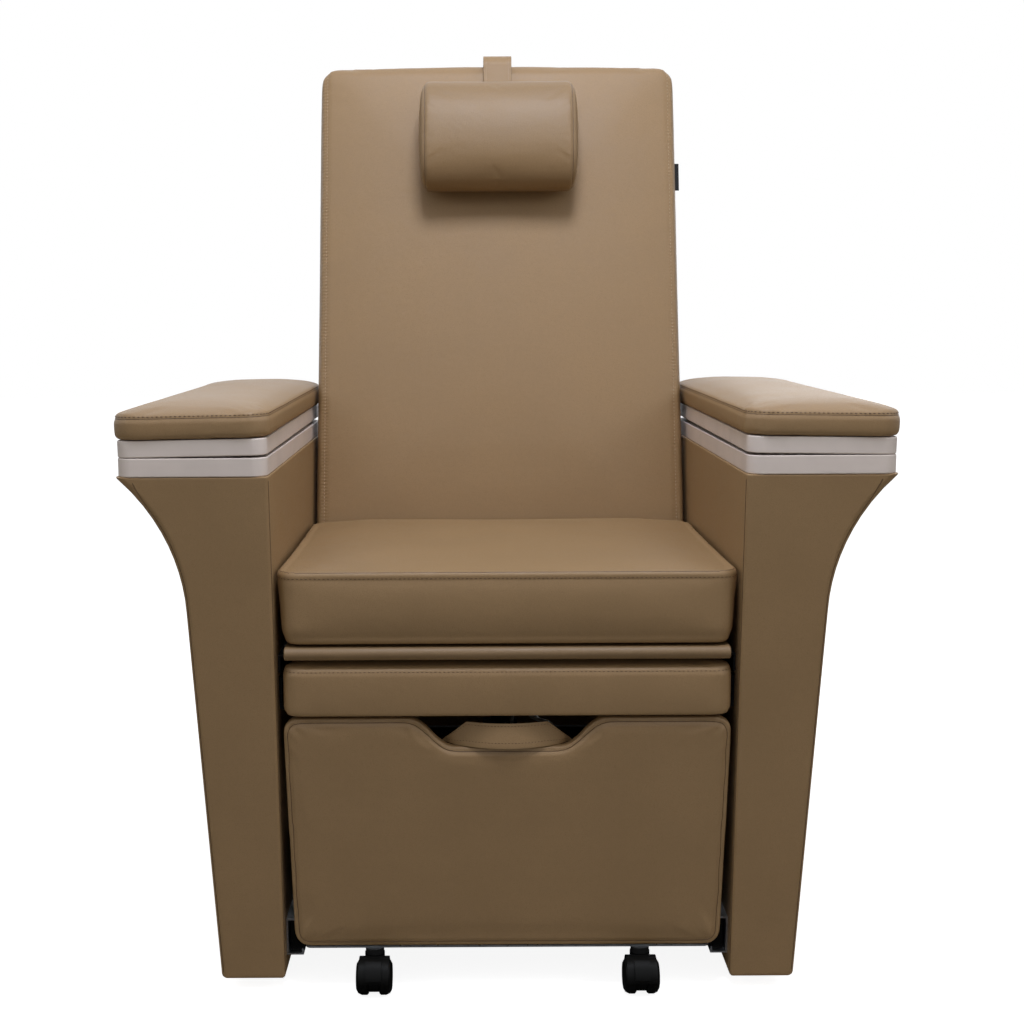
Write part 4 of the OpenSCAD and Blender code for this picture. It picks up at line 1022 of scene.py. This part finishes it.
def back_puckers(finish):
    """Where the gathers are, from the side edge inwards, and the length along the back."""
    parts = finish.node("ShaderNodeSeparateXYZ", None, {0: finish.place()})
    nodes_xyz = parts.socket.node.outputs
    across, deep, high = (Wire(finish, nodes_xyz[i]) for i in range(3))
    from_edge = cushion_high.x - across.maths("ABSOLUTE", across)
    inner = finish.between(from_edge, GATHERS_FADE, GATHERS_FULL)
    outer = finish.between(from_edge, 0.0, GATHERS_OUTER)
    along = high * back_up.z + deep * back_up.y
    return inner * outer, along


back_leather = leather_finish("back_leather", LEATHER, back_puckers)
back_lines = []
for side in (-1, 1):
    skin = Surface(cushions["back_cover"])
    ring = skin.cut(Vector((side * BACK_SEAM, 0, 0)), Vector((1, 0, 0)))[0]
    line = even(part_of(ring, lambda p: on_back(p)[1] > -BACK_ROUND), SEAM_STEP)
    back_lines.append([back_wider(p) for p in line])
for vertex in cushions["back_cover"].data.vertices:
    vertex.co = back_wider(vertex.co)
pressed(cushions["back_cover"], back_lines, 1.0 * MM, 7 * MM)
back_skin = dressed("back_cover", "back_cushion", back_leather)
back_rows = [laid(back_skin, line, PROUD) for line in back_lines]
stitched("back_stitching", back_rows, thread_painted_light, "backrest")

# %% [markdown]
# Each arm pad has one seam round its top, parallel with its underside, and thread just above it.

# %% Arm pads
PAD_THREAD_UP = 2.8 * MM
for side in ("left", "right"):
    name = side + "_arm_pad_cover"
    middle, down = pad_plane[side]
    skin = Surface(cushions[name])
    ring = skin.cut(middle - down * PAD_SEAM_UP, down)[0]
    line = even(ring, SEAM_STEP)
    pressed(cushions[name], [line], 1.3 * MM, 6 * MM)
    skin = dressed(name, side + "_arm_pad")
    seam = [laid(skin, line, SUNK)]
    corded(side + "_arm_pad_seam", seam, PAD_SEAM_THICK, seam_painted_shadow, side + "_lid")
    row = laid(skin, shifted(line, down * -PAD_THREAD_UP), 0.3 * MM)
    stitched(side + "_arm_pad_stitching", [row], thread_dark, side + "_lid")

# %% [markdown]
# The head pillow is a half round bolster with a sewn cap at each end. Its counterweight is a
# small pouch behind the back, on the other leg of the strap.

# %% Head pillow, its pouch and its strap
pillow_lines = []
for side in (-1, 1):
    skin = Surface(cushions["pillow_cover"])
    ring = skin.cut(Vector((side * PILLOW_SEAM, 0, 0)), Vector((1, 0, 0)))[0]
    pillow_lines.append(even(ring, 2.5 * MM))
pressed(cushions["pillow_cover"], pillow_lines, 1.3 * MM, 5 * MM)
# The pillow wears the darker copy of the leather: painted shade.
pillow_skin = dressed("pillow_cover", "head_pillow", pillow_leather_painted_shade)
runs = [laid(pillow_skin, line, -0.1 * MM) for line in pillow_lines]
corded("pillow_seams", runs, SEAM_THICK, seam_painted_shadow, "pillow")
dressed("pouch_cover", "counterweight")

strap = eased("pillow_strap", 0.6 * MM)
STRAP_HEM = 5 * MM
IN_STRAP = BACK_LOW + back_up * 780 * MM - back_out * 40 * MM
strap_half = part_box("pillow_strap")[1].x
strap_skin = Surface(strap)
strap_rows = []
for side in (-1, 1):
    ring = strap_skin.cut(Vector((side * (strap_half - STRAP_HEM), 0, 0)), Vector((1, 0, 0)))[0]
    line = even(ring, 2 * MM, 0)
    spots = laid(strap_skin, line, 0.1 * MM)
    outer = [(p, n) for p, n in spots if n.dot(p - IN_STRAP) > 0 and abs(n.x) < 0.5]
    strap_rows.append(outer)
# The strap's thread is the paler copy: painted light.
stitched("strap_stitching", strap_rows, thread_painted_light, "backrest", 2.6 * MM, 4 * MM, 0.7 * MM)

# %% [markdown]
# The drawer front is a padded board. A seam runs round it a little inside its edge, and the
# leather between seam and edge reads as a piping.

# %% Drawer front
PIPING_INSET = 2.4 * MM
BEHIND_FACE = 3 * MM


def drawn_in(line, inwards, out):
    """The same closed line, moved inwards in the plane that out is square to."""
    made = []
    last = len(line) - 1
    for i, point in enumerate(line):
        along = line[(i + 1) % last] - line[i - 1 if i else last - 1]
        made.append(point + out.cross(along).normalized() * inwards)
    return made


skin = Surface(cushions["drawer_front_cover"])
ring = even(skin.cut(FRONT_LOW - front_out * BEHIND_FACE, front_out)[0], 4 * MM, 3)
middle = sum(ring, Vector()) / len(ring)
trial = drawn_in(ring, PIPING_INSET, front_out)
sign = 1 if (trial[0] - middle).length < (ring[0] - middle).length else -1
piping = [skin.hit(p + front_out * RAY_START, -front_out)[0] for p in
          drawn_in(ring, sign * PIPING_INSET, front_out)]
piping = even([p for p in piping if p], SEAM_STEP, 4)
pressed(cushions["drawer_front_cover"], [piping], 1.8 * MM, 6 * MM)
drawer_skin = dressed("drawer_front_cover", "drawer_front")
drawer_seam = [laid(drawer_skin, piping, SUNK)]
corded("drawer_front_seam", drawer_seam, SEAM_THICK, seam_painted_shadow, "drawer")

# %% [markdown]
# The handle is a doubled leather band across the hand cut-out. It bows forward in the middle, its
# ends turn down behind the front, so that it looks like a low wedge, and thread runs along both its
# edges. A flat grid is bent by two formulas, one for each edge, and then gets its thickness.

# %% Drawer handle
HANDLE_HALF = 98 * MM
HANDLE_TOP_HALF = 56 * MM
HANDLE_TIP_HALF = 85 * MM
HANDLE_LOW, HANDLE_TOP = 302 * MM, 332.5 * MM
HANDLE_HIGH = HANDLE_TOP - HANDLE_LOW
HANDLE_TAIL = 26 * MM
HANDLE_BEHIND, HANDLE_OUT = -25 * MM, 3 * MM
HANDLE_LEAN = 7 * MM
HANDLE_THICK = 3.6 * MM
HANDLE_HEM = 4 * MM


def on_handle(along, across):
    """A point of the band: along is -1 to 1 between its ends, across is 0 low to 1 at its top."""
    x = along * HANDLE_HALF
    tail = max(abs(x) - HANDLE_TIP_HALF, 0.0) / (HANDLE_HALF - HANDLE_TIP_HALF)
    slope = max(abs(x) - HANDLE_TOP_HALF, 0.0) / (HANDLE_TIP_HALF - HANDLE_TOP_HALF)
    low = HANDLE_LOW - HANDLE_TAIL * tail
    drop = (HANDLE_HIGH - HANDLE_THICK) * min(slope, 1.0)
    top = HANDLE_TOP - drop - HANDLE_TAIL / 2 * tail
    bow = math.cos(math.pi / 2 * min(abs(x) / HANDLE_TIP_HALF, 1.0)) ** 0.7
    out = HANDLE_BEHIND + (HANDLE_OUT - HANDLE_BEHIND) * bow - HANDLE_LEAN * bow * (across - 0.5)
    return FRONT_LOW + Vector((x, 0, 0)) + front_up * (low + (top - low) * across) + front_out * out


handle_bm = bmesh.new()
bmesh.ops.create_grid(handle_bm, x_segments=84, y_segments=10, size=1)
for vertex in handle_bm.verts:
    vertex.co = on_handle(vertex.co.x, (vertex.co.y + 1) / 2)
bmesh.ops.solidify(handle_bm, geom=handle_bm.faces[:], thickness=HANDLE_THICK)
rims = [e for e in handle_bm.edges if e.is_manifold and e.calc_face_angle() > math.radians(50)]
bmesh.ops.bevel(handle_bm, geom=rims, offset=0.9 * MM, segments=2, profile=0.5, affect="EDGES",
                clamp_overlap=True, material=-1)
bmesh.ops.recalc_face_normals(handle_bm, faces=handle_bm.faces)
handle = stored(handle_bm, "handle_band", leather, "drawer", ["handle_strap"])
handle_skin = Surface(handle)
handle_rows = []
for share in (HANDLE_HEM / HANDLE_HIGH, 1 - HANDLE_HEM / HANDLE_HIGH):
    line = [on_handle(i / 60, share) for i in range(-52, 53)]
    hits = [handle_skin.hit(p + front_out * 30 * MM, -front_out) for p in line]
    handle_rows.append([(place + normal * 0.1 * MM, normal) for place, normal in hits if place])
stitched("handle_stitching", handle_rows, thread_dark, "drawer", 3.2 * MM, 4.6 * MM, 0.8 * MM)

# %% [markdown]
# The arm pods are boards under tight leather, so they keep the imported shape, only smoother. A
# seam runs down each edge of the front and of the rear. The outer one keeps to the edge of the
# flare and turns in under the lip, where a strip of the side panel shows beyond it.

# %% Arm pods
POD_SEAM_DEPTH = 3 * MM
SEAM_FROM_EDGE = 2 * MM
SEAM_FROM_LIP = 17 * MM
LIP_REACH = 45 * MM
SEAM_FROM_FOOT, SEAM_FROM_TOP = 9 * MM, 5 * MM


def from_flare(point, top, sign):
    """The seam's place beside a point of the outer edge: further in where the flare turns over."""
    share = min(max(1 - (top - point.z) / LIP_REACH, 0.0), 1.0)
    inwards = SEAM_FROM_EDGE + (SEAM_FROM_LIP - SEAM_FROM_EDGE) * share * share
    return point - Vector((sign * inwards, 0, 0))


for side, sign in (("left", -1), ("right", 1)):
    pod = eased(side + "_pod", 0)
    skin = Surface(pod)
    low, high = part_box(side + "_pod")
    inner = min(abs(low.x), abs(high.x))
    top_front = Vector((0, low.y, high.z))
    runs = []
    for plane, facing in ((top_front - front_out * POD_SEAM_DEPTH, front_out),
                          (Vector((0, high.y - POD_SEAM_DEPTH, 0)), Vector((0, 1, 0)))):
        ring = skin.cut(plane, facing)[0]
        inside = (low.z + SEAM_FROM_FOOT, high.z - SEAM_FROM_TOP)
        for outer in (False, True):
            run = part_of(even(ring, 4 * MM, 0), lambda p: inside[0] < p.z < inside[1]
                          and (abs(p.x) > inner + 20 * MM) == outer)
            if outer:
                run = [from_flare(p, high.z, sign) for p in run]
                run = [skin.hit(p + facing * RAY_START, -facing)[0] or p for p in run]
            runs.append(laid(skin, even(run, 5 * MM), 0.0))
    corded(side + "_pod_seams", runs, SEAM_THICK, seam_painted_shadow, "base")

# %% [markdown]
# The mouldings get the small radius that a mould leaves on every edge, so their edges catch the
# light as the real rims do.

# %% Rims and boards
RIM_RADIUS = 1.6 * MM
BOARD_RADIUS = 1.8 * MM
SHELL_RADIUS = 2.5 * MM
CORNER = 50
for node in ("left_tray", "right_tray", "left_lid", "right_lid"):
    eased(node, RIM_RADIUS, 3, CORNER)
board = eased("seat_board", BOARD_RADIUS, 3, CORNER)
# The board wears the darker copy of the leather: painted shade under the seat's overhang.
board.data.materials[0] = board_leather_painted_shade
eased("rear_panel", SHELL_RADIUS, 3, CORNER)
shell = eased("back_shell", SHELL_RADIUS, 3, CORNER)
for vertex in shell.data.vertices:
    vertex.co = back_wider(vertex.co)

# %% [markdown]
# The grey lead hangs in a loop from the control box, shows above the drawer's handle, and goes on
# to the actuator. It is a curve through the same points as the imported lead.

# %% Control lead
LEAD_D = 6 * MM
LEAD_ROUTE_MM = [
    (20, 406, 472), (20, 398, 471), (21, 388, 465), (23, 378, 450), (25, 370, 425), (27, 364, 390),
    (30, 359, 350), (36, 355, 325), (46, 352, 312), (57, 351, 308), (68, 352, 306), (78, 354, 300),
    (82, 358, 291), (80, 366, 285), (72, 380, 284), (62, 400, 288), (55, 425, 296), (50, 455, 304),
    (45, 490, 310), (40, 525, 310), (34, 552, 302), (28, 570, 284), (23, 579, 258), (20, 584, 234),
    (19, 587, 220), (19, 591, 213),
]
lead_data = bpy.data.curves.new("control_lead_sheath", "CURVE")
lead_data.dimensions = "3D"
lead_data.bevel_depth = LEAD_D / 2
lead_data.bevel_resolution = 3
lead_data.resolution_u = 6
spline = lead_data.splines.new("NURBS")
spline.points.add(len(LEAD_ROUTE_MM) - 1)
spline.use_endpoint_u = True
spline.order_u = 3
for point, (x, y, z) in zip(spline.points, LEAD_ROUTE_MM):
    point.co = (x * MM, (y - ROW_MIDDLE) * MM, z * MM, 1.0)
lead = bpy.data.objects.new("control_lead_sheath", lead_data)
scene.collection.objects.link(lead)
lead_data.materials.append(finishes["grey_cable"])
settled(lead, "base", ["control_lead"])
